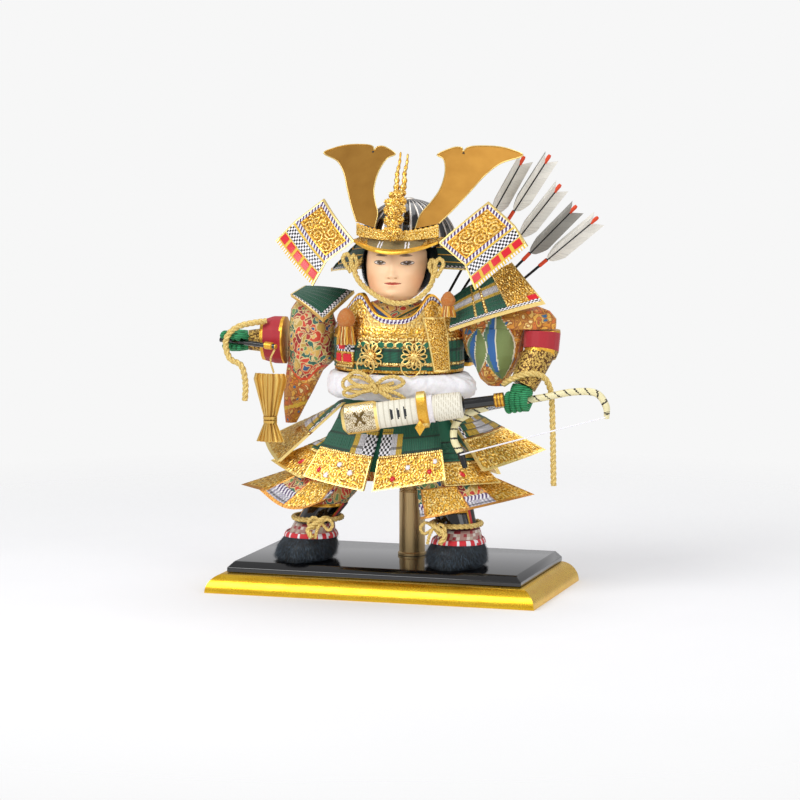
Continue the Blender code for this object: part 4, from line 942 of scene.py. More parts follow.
def ankle_rope(side):
    radius = LEG_RADIUS + ROPE_RADIUS + 2 * GAP
    z = ANKLE_Z + ROPE_RADIUS + SEAT + 0.0008
    x, y = leg_centre(side, z).xy
    out = mirrored(side)
    points = []
    for i in range(13):
        angle = math.radians(-20 + 330 * i / 12) * out
        points.append((x + radius * math.sin(angle), y - radius * math.cos(angle), z))
    bow_x, bow_y = x - 0.012 * out, y - radius - 0.0035
    points += [
        (bow_x - 0.003 * out, bow_y - 0.004, z + 0.003),
        (bow_x + 0.010 * out, bow_y - 0.007, z - 0.006),
        (bow_x + 0.006 * out, bow_y - 0.010, z - 0.014),
    ]
    rope_piece(f"{side}_ankle_twist", rope(points, ROPE_RADIUS), f"{side}_ankle_rope")
    knot = Vector((bow_x - 0.001 * out, bow_y - 0.003, z))
    loops = (
        ((0, 0, 0), (-0.007, -0.002, 0.004), (-0.012, -0.002, -0.001), (-0.008, -0.002, -0.006), (0, 0, -0.001)),
        ((0, 0, 0), (0.007, -0.002, 0.003), (0.011, -0.002, -0.002), (0.007, -0.002, -0.007), (0, 0, -0.001)),
        ((0, -0.001, 0), (-0.003, -0.004, -0.007), (-0.005, -0.004, -0.015)),
    )
    parts = [rope([knot + Vector(p) for p in loop], ROPE_RADIUS * 0.62) for loop in loops]
    rope_piece(f"{side}_ankle_bow", join(parts))


# ---------------------------------------------------------------- skirt


def hang(name, node_name, turns, top, low_in, low_out, bow, look, columns=80, rows=64):
    """An apron of lames from the sash to its foot; look(x, y, width, drop) has x from its inner edge and y down."""
    start, end = turns
    low_in, low_out = Vector(low_in), Vector(low_out)
    width = (low_out - low_in).length
    drop = top - (low_in.z + low_out.z) / 2

    def place(u, v, w):
        head = around_body(math.radians(start + (end - start) * u), top, TASSET_SEAT)
        foot = low_in.lerp(low_out, u)
        out = (foot - Vector((BODY_CENTRE.x, BODY_CENTRE.y, foot.z))).normalized()
        foot += out * bow * 4 * u * (1 - u)
        return head.lerp(foot, 1 - v) + out * w

    def sheet_look(u, v):
        return look(u * width, (1 - v) * drop, width, drop)

    bm = relief_sheet(columns, rows, place, sheet_look, TASSET_THICKNESS - 0.0004)
    return finish(name, bm, LACED, (node_name,), 50)


def gold_foot(x, y, width, drop, height, spots=()):
    """The gilt plate at an apron's foot, with beads along its top and a pale rim; None above it."""
    low = drop - y
    if low > height + 0.0024:
        return None
    if low > height:
        return bead_look(x, low - height - 0.0012)
    if min(low, x, width - x) < 0.0012:
        return 0.0014, hue.pale_gold_and_highlight, 0
    return gem_near(x, low, spots) or gilt_look(x, y, fine.gilt_relief)


def front_look(spots):
    def look(x, y, width, drop):
        foot = gold_foot(x, y, width, drop, 0.0255, spots)
        if foot:
            return foot
        above = drop - y - 0.0279
        if x < 0.023 and above < 0.0165:
            if x < 0.011:
                slant = sum(abs((s / 0.0044) % 1.0 - 0.5) for s in (x - above, x + above))
                return 0.0009, hue.black if slant < 0.5 else hue.white, 1
            return braid_look(x, y, hue.white if x < 0.017 else hue.yellow, 0.0016, 0.0165)
        if x < 0.012 and above < 0.0215:
            return braid_look(x, y, hue.yellow, 0.0024, 0.0050)
        return braid_look(x, y, hue.green, 0.0019, 0.0125)
    return look


def side_look(x, y, width, drop):
    foot = gold_foot(x, y, width, drop, 0.021)
    if foot:
        return foot
    if x < 0.0010 or 0.0046 < x < 0.0054:
        return 0.0010, hue.pale_gold_and_highlight, 0
    if x < 0.0046:
        return check_look(x, y, 0.0018)
    return lozenge_look(x, y, (width * 0.55, 0.020), (width * 0.52, 0.026))


def inner_look(x, y, width, drop):
    foot = gold_foot(x, y, width, drop, 0.017, ((width * 0.4, 0.009, hue.red),))
    return foot or lozenge_look(x, y, (width * 0.85, 0.006), (width * 0.3, 0.012))


def dress_skirt():
    top = SASH_Z - SASH_HALF_HEIGHT - TASSET_DROP
    low = top - 0.031
    red, white = hue.red, hue.white
    right = front_look(((0.046, 0.009, red), (0.028, 0.017, white), (0.016, 0.012, white), (0.037, 0.006, white)))
    left = front_look(((0.017, 0.008, red), (0.050, 0.010, red), (0.056, 0.018, white), (0.030, 0.016, white)))
    for place, *shape in (
        ("front_right", (-1, -50), top, (-0.006, -0.068, 0.097), (-0.063, -0.060, 0.107), 0.002, right, 110, 90),
        ("front_left", (1, 50), top, (0.002, -0.068, 0.097), (0.065, -0.060, 0.109), 0.002, left, 110, 90),
        ("side_right", (-58, -112), top, (-0.094, -0.040, 0.116), (-0.122, 0.004, 0.131), 0.002, side_look),
        ("side_left", (58, 112), top, (0.094, -0.040, 0.115), (0.139, 0.000, 0.131), 0.002, side_look),
        ("inner_right", (-36, -66), low, (-0.070, -0.047, 0.103), (-0.105, -0.026, 0.115), 0.001, inner_look, 60, 44),
        ("inner_left", (36, 66), low, (0.062, -0.050, 0.102), (0.106, -0.030, 0.104), 0.001, inner_look, 60, 44),
    ):
        hang(f"apron_{place}", f"tasset_{place}", *shape)

    def back_place(u, v, w):
        angle = math.radians(118 + 124 * u)
        z = 0.103 + (top - 0.103) * v
        return around_body(angle, z, TASSET_SEAT + 0.022 * (1 - v) + w)

    def back_look(u, v):
        width, drop = 0.15, top - 0.103
        x, y = u * width, (1 - v) * drop
        if min(u, 1 - u) * width < 0.0042 and v > 0.3:
            return check_look(x, y)
        foot = gold_foot(x, y, width, drop, 0.017)
        return foot or lozenge_look(x, y, (width / 2, 0.022), (0.045, 0.022))

    bm = relief_sheet(130, 60, back_place, back_look, TASSET_THICKNESS - 0.0004)
    finish("apron_back", bm, LACED, ("tasset_back",), 50)
    bm = paint(skin(body_rings(CORE_BOTTOM_Z, CORE_TOP_Z, 20)),
               lambda face: (hue.green, 1 if face.calc_center_median().z > 0.112 else 0))
    finish("skirt_lining", bm, ("gold_brocade", "silk_braid"), ("skirt_core",), 50)


def dress_thigh_guards():
    spots = {
        "right": (-24, -78, 0.117, (-0.046, -0.054, 0.085), (-0.138, -0.016, 0.090)),
        "left": (24, 78, 0.115, (0.042, -0.056, 0.072), (0.134, -0.018, 0.093)),
    }
    for side, (start, end, top, low_in, low_out) in spots.items():
        low_in, low_out = Vector(low_in), Vector(low_out)

        def place(u, v, w):
            head = around_body(math.radians(start + (end - start) * u), top, TASSET_SEAT)
            foot = low_in.lerp(low_out, u)
            foot.y -= 0.010 * math.sin(math.pi * u)
            foot.z -= 0.012 * math.sin(math.pi * min(1.0, 1.35 * u)) if side == "right" else 0.0
            out = (foot - Vector((BODY_CENTRE.x, BODY_CENTRE.y, foot.z))).normalized()
            return head.lerp(foot, 1 - v) + out * w

        def look(u, v):
            x, y = u * 0.1, (1 - v) * 0.04
            plate = 0.04 < u < 0.46 or 0.70 < u
            if plate and v < 0.62:
                rim = v < 0.05 or v > 0.57 or min(abs(u - e) for e in (0.04, 0.46, 0.70, 1.0)) < 0.012
                return (0.0013, hue.copper, 0) if rim else gilt_look(x, y, 0.0012)
            if v < 0.05:
                return 0.0010, hue.copper, 0
            if v < 0.20:
                # White laces parted by stripes of painted shade.
                return braid_look(x, y, hue.white if (x / 0.003) % 1.0 < 0.6 else hue.lace_gap_shade, 0.0012, 0.0030)
            if v < 0.30:
                return dotted_look(x, y)
            return 0.0003 * math.sin(900 * x), hue.white, 3

        bm = relief_sheet(110, 36, place, look, 0.0016)
        finish(f"{side}_haidate", bm, (*LACED, "paisley_brocade"), (f"{side}_thigh_guard",), 50)


# ---------------------------------------------------------------- body


def dress_body():
    robe = skin(body_rings(CORE_TOP_Z + GAP, NECK_Z - SEAT, 30))
    finish("under_robe", robe, "paisley_brocade", ("torso",), 50)
    seam = math.radians(1.5)

    def place(u, v, w):
        angle = -math.pi + seam + (2 * math.pi - 2 * seam) * u
        z = CUIRASS_BOTTOM_Z + (cuirass_top(angle) - CUIRASS_BOTTOM_Z) * v
        return cuirass_point(angle, z, -CUIRASS_WALL + w)

    def look(u, v):
        angle = -math.pi + seam + (2 * math.pi - 2 * seam) * u
        turn = math.degrees(angle - FRONT_TURN)
        height = cuirass_top(angle) - CUIRASS_BOTTOM_Z
        z = height * v
        x = 0.057 * angle
        edge = height - z
        if edge < 0.0017:
            return 0.0012, hue.gold, 0
        if edge < 0.0052:
            return dotted_look(x, edge * 0.6)
        if abs(turn) > 100:
            return braid_look(x, z, hue.green)
        if z < 0.0025:
            return gilt_look(x, z, 0.0006)
        if z < 0.0065:
            return braid_look(x, z, hue.green)
        if z < 0.0095:
            return bead_look(x, z - 0.008, 0.0028)
        if z < 0.0285:
            if abs(turn) < 34 and 0.0222 < z:
                near = math.hypot((x / 0.0082) % 1.0 - 0.5, (z - 0.0253) / 0.0064)
                if near < 0.4:
                    return 0.0013, hue.green, 2
                # A pale gold ring round each green stone, on a ground of painted shade.
                return 0.0003, hue.pale_gold_and_highlight if near < 0.5 else hue.shaded_gold, 0
            return braid_look(x, z, hue.green, 0.0014, 0.0190)
        if z < 0.0315:
            return bead_look(x, z - 0.0300, 0.0028)
        if z < 0.0410 and abs(turn) < 38:
            return gilt_look(x, z, 0.0010, 0.0075)
        height, colour, _ = gilt_look(x, z, 0.0007, 0.0105)
        return height, colour, 3 if abs(turn) < 30 else 0

    bm = relief_sheet(300, 64, place, look, CUIRASS_WALL)
    finish("breastplate", bm, (*LACED, "gilt_leather"), ("cuirass",), 50)


def chest_plate(side, edges, low, high):
    def place(u, v, w):
        inner, outer = (math.radians(foot + (head - foot) * v) for foot, head in edges)
        crown = 0.0012 * (1 - (2 * u - 1) ** 2)
        out = CUIRASS_RIDGE + GAP + w + crown * (w > 0)
        return cuirass_point(inner + (outer - inner) * u, low + (high - low) * v, out)

    def look(u, v):
        x, y = u * 0.024, v * (high - low)
        if side == "left":
            if min(u, 1 - u) < 0.07 or min(v, 1 - v) < 0.035:
                return 0.0011, hue.pale_gold_and_highlight, 0
            return gilt_look(x, y, 0.0012, 0.0065)
        if v > 0.88 or v < 0.10:
            return bead_look(x, y - high + low + 0.0018 if v > 0.5 else y - 0.0014, 0.0026)
        if v > 0.5:
            square = abs(u - 0.5) < 0.19 and abs(v - 0.70) < 0.13
            return (0.0016, hue.red, 2) if square else check_look(x, y, 0.0020)
        if abs(abs(u - 0.5) - 0.26) < 0.18 and 0.18 < v < 0.44:
            return 0.0016, hue.red, 2
        return gilt_look(x, y, 0.0007, 0.005)

    bm = relief_sheet(54, 80, place, look, 0.0014)
    finish(f"{side}_breast_panel", bm, LACED, (f"{side}_chest_plate",), 50)


def rosette(side, angle):
    """An openwork flower of twelve wire petals round a beaded heart, with a ring hanging from it."""
    centre = cuirass_point(angle, 0.2155, CUIRASS_RIDGE + GAP + 0.0002)
    ahead = Vector((math.sin(angle), -math.cos(angle), 0.0)).normalized()
    across = Vector((0, 0, 1)).cross(ahead)

    def spot(radius, turn, lift):
        return centre + across * radius * math.cos(turn) + Vector((0, 0, radius * math.sin(turn))) + ahead * lift

    parts = [skin([[spot(r, t, lift) for t in circle_steps(24)]
                   for r, lift in ((0.0036, 0.0), (0.0036, 0.0022), (0.0026, 0.0034), (0.0010, 0.0038))])]
    for turn in circle_steps(12):
        loop = [spot(r, turn + math.radians(d), lift) for r, d, lift in (
            (0.0034, 0, 0.0010), (0.0060, 9, 0.0022), (0.0088, 12, 0.0020), (0.0108, 7, 0.0010), (0.0114, 0, 0.0008),
            (0.0108, -7, 0.0010), (0.0088, -12, 0.0020), (0.0060, -9, 0.0022), (0.0034, -1, 0.0010))]
        route = smooth_route(loop, 3)
        parts.append(tube(route, [0.0006] * len(route), 6))
        bead = bmesh.new()
        bmesh.ops.create_icosphere(bead, subdivisions=2, radius=0.0008)
        parts.append(reshape(bead, lambda p: p + spot(0.0036, turn, 0.0024)))
    # Wire faces turned to the front get pale gold as a painted highlight.
    bm = paint(join(parts), lambda face: (hue.pale_gold_and_highlight if face.normal.dot(ahead) > 0.6 else hue.gold, 0))
    finish(f"{side}_flower_boss", bm, "stamped_gilt", (f"{side}_rosette",), 50, True)
    ring = [spot(0.0, 0.0, 0.0050) + across * (0.0088 * math.cos(t) - 0.0035)
            + Vector((0, 0, 0.0088 * math.sin(t) - 0.0088)) for t in circle_steps(48)]
    middle = spot(0, 0, 0.0050) - across * 0.0035 - Vector((0, 0, 0.0088))
    loops = [circle(p, (p - middle).normalized(), ahead, 0.0006, 8) for p in ring]
    bm = paint(skin(loops, ring=True), lambda face: (hue.pale_gold_and_highlight, 0))
    finish(f"{side}_boss_ring", bm, "stamped_gilt", (), 60, True)


def dress_collar():
    """Crossed robe collar strips between the helmet cord and the breastplate."""
    for number, (sign, colour) in enumerate(((-1, hue.blue), (1, hue.green))):
        def place(u, v, w):
            x = BODY_CENTRE.x + 0.004 + sign * (0.024 - 0.022 * u) + 0.004 * (v - 0.5)
            z = lerp(0.2625, 0.2500, u) - 0.005 * (1 - v)
            y = BODY_CENTRE.y - lerp(0.022, 0.0335, u) - 0.001 * number
            return Vector((x, y - w, z))

        def look(u, v):
            if v > 0.7 or v < 0.15:
                return 0.0004, hue.gold, 1
            return braid_look(u * 0.03, v * 0.008, colour, 0.0016, 0.004)

        bm = relief_sheet(36, 16, place, look, 0.0018)
        finish(f"collar_{'right' if sign < 0 else 'left'}", bm, ("stamped_gilt", "silk_braid"), (), 50)


# ---------------------------------------------------------------- sash


def dress_sash():
    inner = [half + 0.001 + SASH_HALF_DEPTH for half in WAIST]

    def swell_at(turn):
        knot = math.exp(-(((turn - SASH_KNOT_TURN) / math.radians(17)) ** 2))
        return 1.0 + 0.16 * math.sin(3 * turn + 0.6) + 1.9 * knot

    def outside(point):
        return math.hypot((point.x - BODY_CENTRE.x) / inner[0], (point.y - BODY_CENTRE.y) / inner[1])

    around = 220
    rings = []
    for k in range(around):
        turn = -math.pi + 2 * math.pi * k / around
        ring = []
        for t in circle_steps(36):
            out = SASH_HALF_DEPTH * math.cos(t)
            if out > 0:
                out *= swell_at(turn)
            x = (inner[0] + out) * math.cos(turn)
            y = (inner[1] + out) * math.sin(turn)
            ring.append(BODY_CENTRE + Vector((x, y, SASH_Z + SASH_HALF_HEIGHT * math.sin(t))))
        rings.append(ring)
    bm = skin(rings, ring=True)
    bm = puffed(bm, SASH_VOXEL, lambda point: SASH_PUFF_OUTSIDE if outside(point) > 1 else SASH_PUFF_INSIDE)
    for vert in bm.verts:
        share = min(1.0, max(0.0, (outside(vert.co) - 1) * 16))
        knot = math.atan2(vert.co.y - BODY_CENTRE.y, vert.co.x - BODY_CENTRE.x) - SASH_KNOT_TURN
        tuck = math.sin(knot * 42 + 900 * (vert.co.z - SASH_Z) * math.tanh(knot * 3))
        tuft = noise.noise(vert.co * 110) + 0.5 * noise.noise(vert.co * 260)
        vert.co += vert.normal * share * (0.0016 * tuft - 0.0004 + 0.0005 * tuck * math.exp(-abs(knot) * 1.4))
    sash = finish("silk_sash", bm, "white_crepe", ("sash",), 60)
    y = BODY_CENTRE.y - WAIST[1] - 2 * SASH_HALF_DEPTH * 1.09 - SEAT + 0.0002
    x, z = -0.002, 0.187
    points = (
        (x + 0.020, y - 0.001, z + 0.006),
        (x + 0.006, y - 0.001, z + 0.003),
        (x - 0.012, y - 0.001, z + 0.010),
        (x - 0.026, y + 0.001, z + 0.008),
        (x - 0.027, y + 0.001, z),
        (x - 0.012, y - 0.003, z - 0.003),
        (x + 0.003, y - 0.005, z - 0.001),
        (x + 0.016, y - 0.004, z - 0.005),
        (x + 0.022, y - 0.0072, z - 0.0112),
    )
    rope_piece("sash_bow", rope(points, 0.0018), "sash_cord")
    loops = (
        ((-0.002, 0, 0.004), (-0.010, -0.002, 0.012), (-0.020, -0.001, 0.014),
         (-0.026, 0, 0.009), (-0.018, -0.002, 0.003), (-0.003, -0.001, 0.002)),
        ((-0.002, 0, 0.002), (-0.012, -0.002, -0.003), (-0.024, 0, -0.008),
         (-0.031, 0.001, -0.005), (-0.022, -0.002, 0.001), (-0.004, -0.002, 0.001)),
        ((0.000, 0, 0.004), (0.009, -0.002, 0.010), (0.018, -0.001, 0.011),
         (0.025, 0.001, 0.006), (0.016, -0.002, 0.001), (0.002, -0.001, 0.002)),
        ((0.000, 0, 0.001), (0.010, -0.003, -0.001), (0.020, -0.002, -0.004),
         (0.026, 0, -0.009), (0.014, -0.003, -0.008), (0.002, -0.003, -0.001)),
        ((-0.004, -0.003, 0.005), (0.000, -0.005, 0.002), (0.002, -0.004, -0.003),
         (-0.003, -0.004, -0.001), (-0.004, -0.003, 0.004)),
    )
    knot = Vector((x + 0.004, y - 0.0015, z + 0.0005))
    parts = [rope([knot + Vector(p) for p in loop], 0.0019) for loop in loops]
    rope_piece("sash_bow_loops", join(parts))


# ---------------------------------------------------------------- arms


ELBOW_Z = 0.2395
SLEEVE_Y = -0.008
ARM_GUARDS = {
    "right": (
        ((-0.0980, -0.0120, 0.2235), 0.0165, 0.0215),
        ((-0.1080, -0.0125, 0.2235), 0.0170, 0.0215),
        ((-0.1200, -0.0135, 0.2230), 0.0140, 0.0180),
        ((-0.1210, -0.0140, 0.2230), 0.0100, 0.0105),
        ((-0.1320, -0.0180, 0.2230), 0.0088, 0.0090),
    ),
    "left": (
        ((0.1405, -0.0085, ELBOW_Z - SEAT), 0.0158, 0.0150),
        ((0.1405, -0.0085, ELBOW_Z - 0.0030), 0.0162, 0.0155),
        ((0.1405, -0.0120, 0.2215), 0.0155, 0.0155),
        ((0.1395, -0.0130, 0.2195), 0.0135, 0.0140),
        ((0.1330, -0.0205, 0.2040), 0.0132, 0.0128),
        ((0.1275, -0.0258, 0.1910), 0.0120, 0.0118),
    ),
}


def limb_rings(stations, sides, upright, finer=6, ripple=None):
    """Rings square to a smooth path through stations of (centre, half breadth, half height)."""
    dense = []
    for a, b in zip(stations, stations[1:]):
        for i in range(finer):
            t = i / finer
            dense.append((Vector(a[0]).lerp(Vector(b[0]), t), lerp(a[1], b[1], t), lerp(a[2], b[2], t)))
    dense.append((Vector(stations[-1][0]), stations[-1][1], stations[-1][2]))
    rings = []
    for number, (centre, breadth, height) in enumerate(dense):
        before = dense[max(number - 1, 0)][0]
        after = dense[min(number + 1, len(dense) - 1)][0]
        along = (after - before).normalized()
        across = Vector(upright).cross(along).normalized()
        up = along.cross(across)
        ring = []
        for t in circle_steps(sides):
            grow = ripple(t) if ripple else 1.0
            ring.append(centre + (across * breadth * math.cos(t) + up * height * math.sin(t)) * grow)
        rings.append(ring)
    return rings


LEAVES = ((0.0835, 0.2190, 0.0108, 0.0215, 0.0015), (0.1035, 0.2250, 0.0145, 0.0310, -0.0020))


def leaf_colour(x, z, middle, height, half_width, half_height, lean):
    """Olive leaf with a blue blade and pale outlines; nothing outside it."""
    rise = (z - height) / half_height
    if abs(rise) >= 1:
        return None
    side = (x - middle - lean * rise) / (half_width * (1 - rise * rise))
    if abs(side) > 1:
        return None
    if abs(side) > 0.92 or abs(side + 0.1) < 0.05 and rise > -0.7:
        return linear("#E9E2C6")
    if -0.62 < side < -0.15 and rise > -0.75:
        return hue.blue
    return hue.olive if side > -0.15 else linear("#5E7F62")


def dress_sleeves():
    armpit = CHEST[0] + CUIRASS_CLEAR + CUIRASS_WALL + CUIRASS_RIDGE
    right = BODY_CENTRE.x - armpit
    left = BODY_CENTRE.x + armpit - SEAT
    levels = {
        "right": (
            (0.1480, -0.1000, -0.0900, 0.005),
            (0.1620, -0.1015, -0.0820, 0.009),
            (0.1800, -0.1010, -0.0720, 0.012),
            (0.1960, -0.0985, -0.0640, 0.015),
            (0.2070, -0.0975, right, 0.018),
            (0.2250, -0.0970, right, 0.020),
            (0.2400, -0.0965, right, 0.018),
            (0.2520, -0.0945, right - 0.0030, 0.013),
            (0.2612, -0.0880, right - 0.0100, 0.006),
        ),
        "left": (
            (0.1880, 0.0910, 0.1060, 0.006),
            (0.1940, 0.0840, 0.1100, 0.011),
            (0.2040, 0.0790, 0.1170, 0.015),
            (0.2160, left + 0.0050, 0.1225, 0.017),
            (0.2300, left, 0.1235, 0.017),
            (ELBOW_Z, left, 0.1240, 0.016),
            (ELBOW_Z + 0.0006, left, 0.1530, 0.016),
            (0.2490, left, 0.1530, 0.016),
            (0.2560, left + 0.0040, 0.1470, 0.012),
            (0.2600, left + 0.0140, 0.1360, 0.006),
        ),
    }
    for side, rows in levels.items():
        rings = []
        for (z0, a0, b0, d0), (z1, a1, b1, d1) in zip(rows, rows[1:]):
            for k in range(12):
                t = k / 12
                z, low, high, deep = lerp(z0, z1, t), lerp(a0, a1, t), lerp(b0, b1, t), lerp(d0, d1, t)
                ring = []
                for turn in circle_steps(150):
                    fold = 1 + 0.05 * math.sin(5 * turn + 55 * z) + 0.03 * math.sin(9 * turn - 90 * z)
                    fold = min(1.03, fold - 0.03)
                    x = (low + high) / 2 + (high - low) / 2 * math.cos(turn) * min(1.0, fold)
                    ring.append(Vector((x, SLEEVE_Y + deep * math.sin(turn) * fold, z)))
                rings.append(ring)
        bm = skin(rings)
        cloth = "paisley_brocade" if side == "right" else "gold_brocade"
        hem = rows[2][0]

        def look(face):
            middle = face.calc_center_median()
            if side == "right":
                fold = 0.1950 + 0.006 * math.sin(middle.x * 180)
                if abs(middle.z - fold) < 0.0012 or abs(middle.z - 0.1640 - 0.3 * (middle.x + 0.09)) < 0.0016:
                    return hue.orange if middle.z > 0.18 else hue.yellow, 2
                return hue.white, 1 if middle.z < fold else 0
            if middle.y < SLEEVE_Y:
                for leaf in LEAVES:
                    colour = leaf_colour(middle.x, middle.z, *leaf)
                    if colour:
                        return colour, 2
            return hue.white, 1 if middle.z < hem - 0.004 else 0

        paint(bm, look)
        finish(f"{side}_robe_sleeve", bm, (cloth, "gold_brocade", "silk_braid"), (f"{side}_sleeve",), 60)


def dress_arms():
    for side, stations in ARM_GUARDS.items():
        upright = (0, 0, 1) if side == "right" else (0, 1, 0)
        edge = 2 if side == "right" else 3
        bm = skin(limb_rings(stations, 56, upright, 7, lambda turn: 1.0 + 0.012 * math.sin(14 * turn)))
        rim = Vector(stations[edge][0])
        inner = Vector(stations[0][0])
        axis = (rim - inner).normalized()
        reach = (rim - inner).dot(axis)

        def look(face):
            along = (face.calc_center_median() - inner).dot(axis)
            if along > reach:
                return hue.white, 2
            if along > reach - 0.0030 or along < 0.0022:
                return hue.gold, 0
            return hue.crimson, 1

        paint(bm, look)
        shown = ("stamped_gilt", "silk_braid", "gold_mail")
        finish(f"{side}_cuff", bm, shown, (f"{side}_arm_guard",), 50)


def finger(points, radius):
    route = smooth_route(points, 5)
    count = len(route) - 1
    swell = [0.78 + 0.3 * math.sin(math.pi * min(1.0, 0.25 + i / count)) for i in range(count + 1)]
    radii = [radius * fat * (0.72 if i in (0, count) else 1.0) for i, fat in enumerate(swell)]
    return tube(route, radii, 12)


def dress_hands():
    """Knit fists: a palm and wrist, with four fingers and a thumb closed round what they hold."""
    start, end = (Vector(p) for p in BATON_ENDS)
    along = (end - start).normalized()
    axis_point = start.lerp(end, 0.17)
    palm = skin(limb_rings((
        ((-0.1324, -0.0181, 0.2230), 0.0088, 0.0090),
        ((-0.1400, -0.0205, 0.2228), 0.0098, 0.0100),
        ((-0.1480, -0.0200, 0.2225), 0.0080, 0.0100),
        ((-0.1545, -0.0205, 0.2225), 0.0045, 0.0070),
    ), 28, (0, 0, 1), 6))
    parts = [palm]
    out = along.cross(Vector((0, 0, 1))).normalized()
    for number in range(4):
        centre = axis_point + along * (0.0105 - 0.0052 * number)
        hook = []
        for k in range(7):
            a = math.radians(150 - 45 * k)
            hook.append(centre + out * math.cos(a) * -0.0058 + Vector((0, 0, 1)) * math.sin(a) * 0.0058)
        parts.append(finger(hook, 0.0029))
    thumb = [axis_point + along * 0.012 + Vector(p)
             for p in ((0.004, 0.004, 0.004), (0.002, -0.003, 0.0068), (-0.004, -0.0065, 0.0045))]
    parts.append(finger(thumb, 0.0031))
    finish("right_fist", join(parts), "ribbed_knit", ("right_hand",), 60, True)
    wrist = Vector(ARM_GUARDS["left"][-1][0])
    palm = skin(limb_rings((
        (tuple(wrist + Vector((-0.0001, -0.0005, -0.0006))), 0.0090, 0.0092),
        ((0.1265, -0.0275, 0.1860), 0.0098, 0.0100),
        ((0.1262, -0.0270, 0.1760), 0.0105, 0.0080),
        ((0.1255, -0.0265, 0.1690), 0.0080, 0.0050),
    ), 28, (0, 1, 0), 6))
    parts = [palm]
    grip = Vector((0.1245, -0.0335, 0.1771))
    run = Vector((0.0232, -0.0071, 0.0045)).normalized()
    out = Vector((0.0, -1.0, 0.0))
    for number in range(4):
        centre = grip + run * (0.0090 - 0.0058 * number)
        hook = []
        for k in range(7):
            a = math.radians(120 - 42 * k)
            hook.append(centre - out * math.cos(a + math.pi) * 0.0070 + Vector((0, 0, 1)) * math.sin(a) * 0.0072)
        parts.append(finger(hook, 0.0033))
    thumb = [grip + Vector(p) for p in ((0.011, 0.002, 0.008), (0.010, -0.006, 0.009), (0.004, -0.009, 0.006))]
    parts.append(finger(thumb, 0.0033))
    finish("left_fist", join(parts), "ribbed_knit", ("left_hand",), 60, True)


def dress_shoulders():
    corners = {
        "left": ((0.058, 0.001, 0.0060), (0.110, 0.006, 0.0370), (0.066, -0.044, -0.0195), (0.148, -0.026, 0.0055)),
        "right": ((-0.038, 0.004, 0.0080), (-0.086, 0.008, 0.0110),
                  (-0.0555, -0.034, -0.0155), (-0.0885, -0.026, 0.0060)),
    }
    for side, spots in corners.items():
        top_in, top_out, low_in, low_out = (Vector((x, y, SHOULDER_Z + rise)) for x, y, rise in spots)
        normal = (top_out - top_in).cross(low_in - top_in).normalized()
        if normal.dot(Vector((0, -0.3, 1))) < 0:
            normal.negate()
        length = ((low_in - top_in).length + (low_out - top_out).length) / 2
        width = (low_out - low_in).length

        def place(u, v, w):
            down = 1.0 - v
            point = top_in.lerp(top_out, u).lerp(low_in.lerp(low_out, u), down)
            return point + normal * (0.0015 * 4 * u * (1 - u) + w)

        def look(u, v):
            x, y = u * width, (1 - v) * length
            low = length - y
            if low < 0.0014 or width - x < 0.0012 or x < 0.0010:
                return 0.0012, hue.pale_gold_and_highlight, 0
            if low < 0.0018 + 0.06 * length or (side == "right" and x < 0.0050):
                return check_look(x, y, 0.0017)
            if side == "right":
                return braid_look(x, y, hue.green, 0.0018, 0.0062)
            if u > 0.64:
                if u > 0.88 and low < 0.012:
                    return 0.0012, hue.red, 2
                return bead_look(y, x - 0.65 * width) if u < 0.66 else gilt_look(x, y, 0.0013)
            for seam in (0.30, 0.42):
                if abs(u - seam) < 0.014:
                    return bead_look(y, (u - seam) * width)
            share = y / length
            for foot, colour in ((0.25, hue.green), (0.32, hue.yellow), (0.48, hue.white), (0.55, hue.yellow)):
                if share < foot:
                    return braid_look(x, y, colour, 0.0018, 0.0062)
            return braid_look(x, y, hue.green, 0.0018, 0.0062)

        bm = relief_sheet(112, 64, place, look, 0.0022)
        finish(f"{side}_laced_guard", bm, LACED, (f"{side}_shoulder_guard",), 50)


def length_of(points):
    return sum((b - a).length for a, b in zip(points, points[1:]))


def dress_wrist_cords():
    """The free wrist cords: each a rope that leaves its knot at the cuff and hangs."""
    for side, points in (("left", LEFT_WRIST_ROUTE), ("right", RIGHT_WRIST_ROUTE)):
        radius = WRIST_CORD_DIAMETER / 2
        route = even_route(points, radius * ROPE_STEP)
        piece = rope_piece(f"{side}_wrist_rope", rope(points, radius, radius * 5), f"{side}_wrist_cord")
        length_of(route)
        [tuple(p) for p in route]


# ---------------------------------------------------------------- head


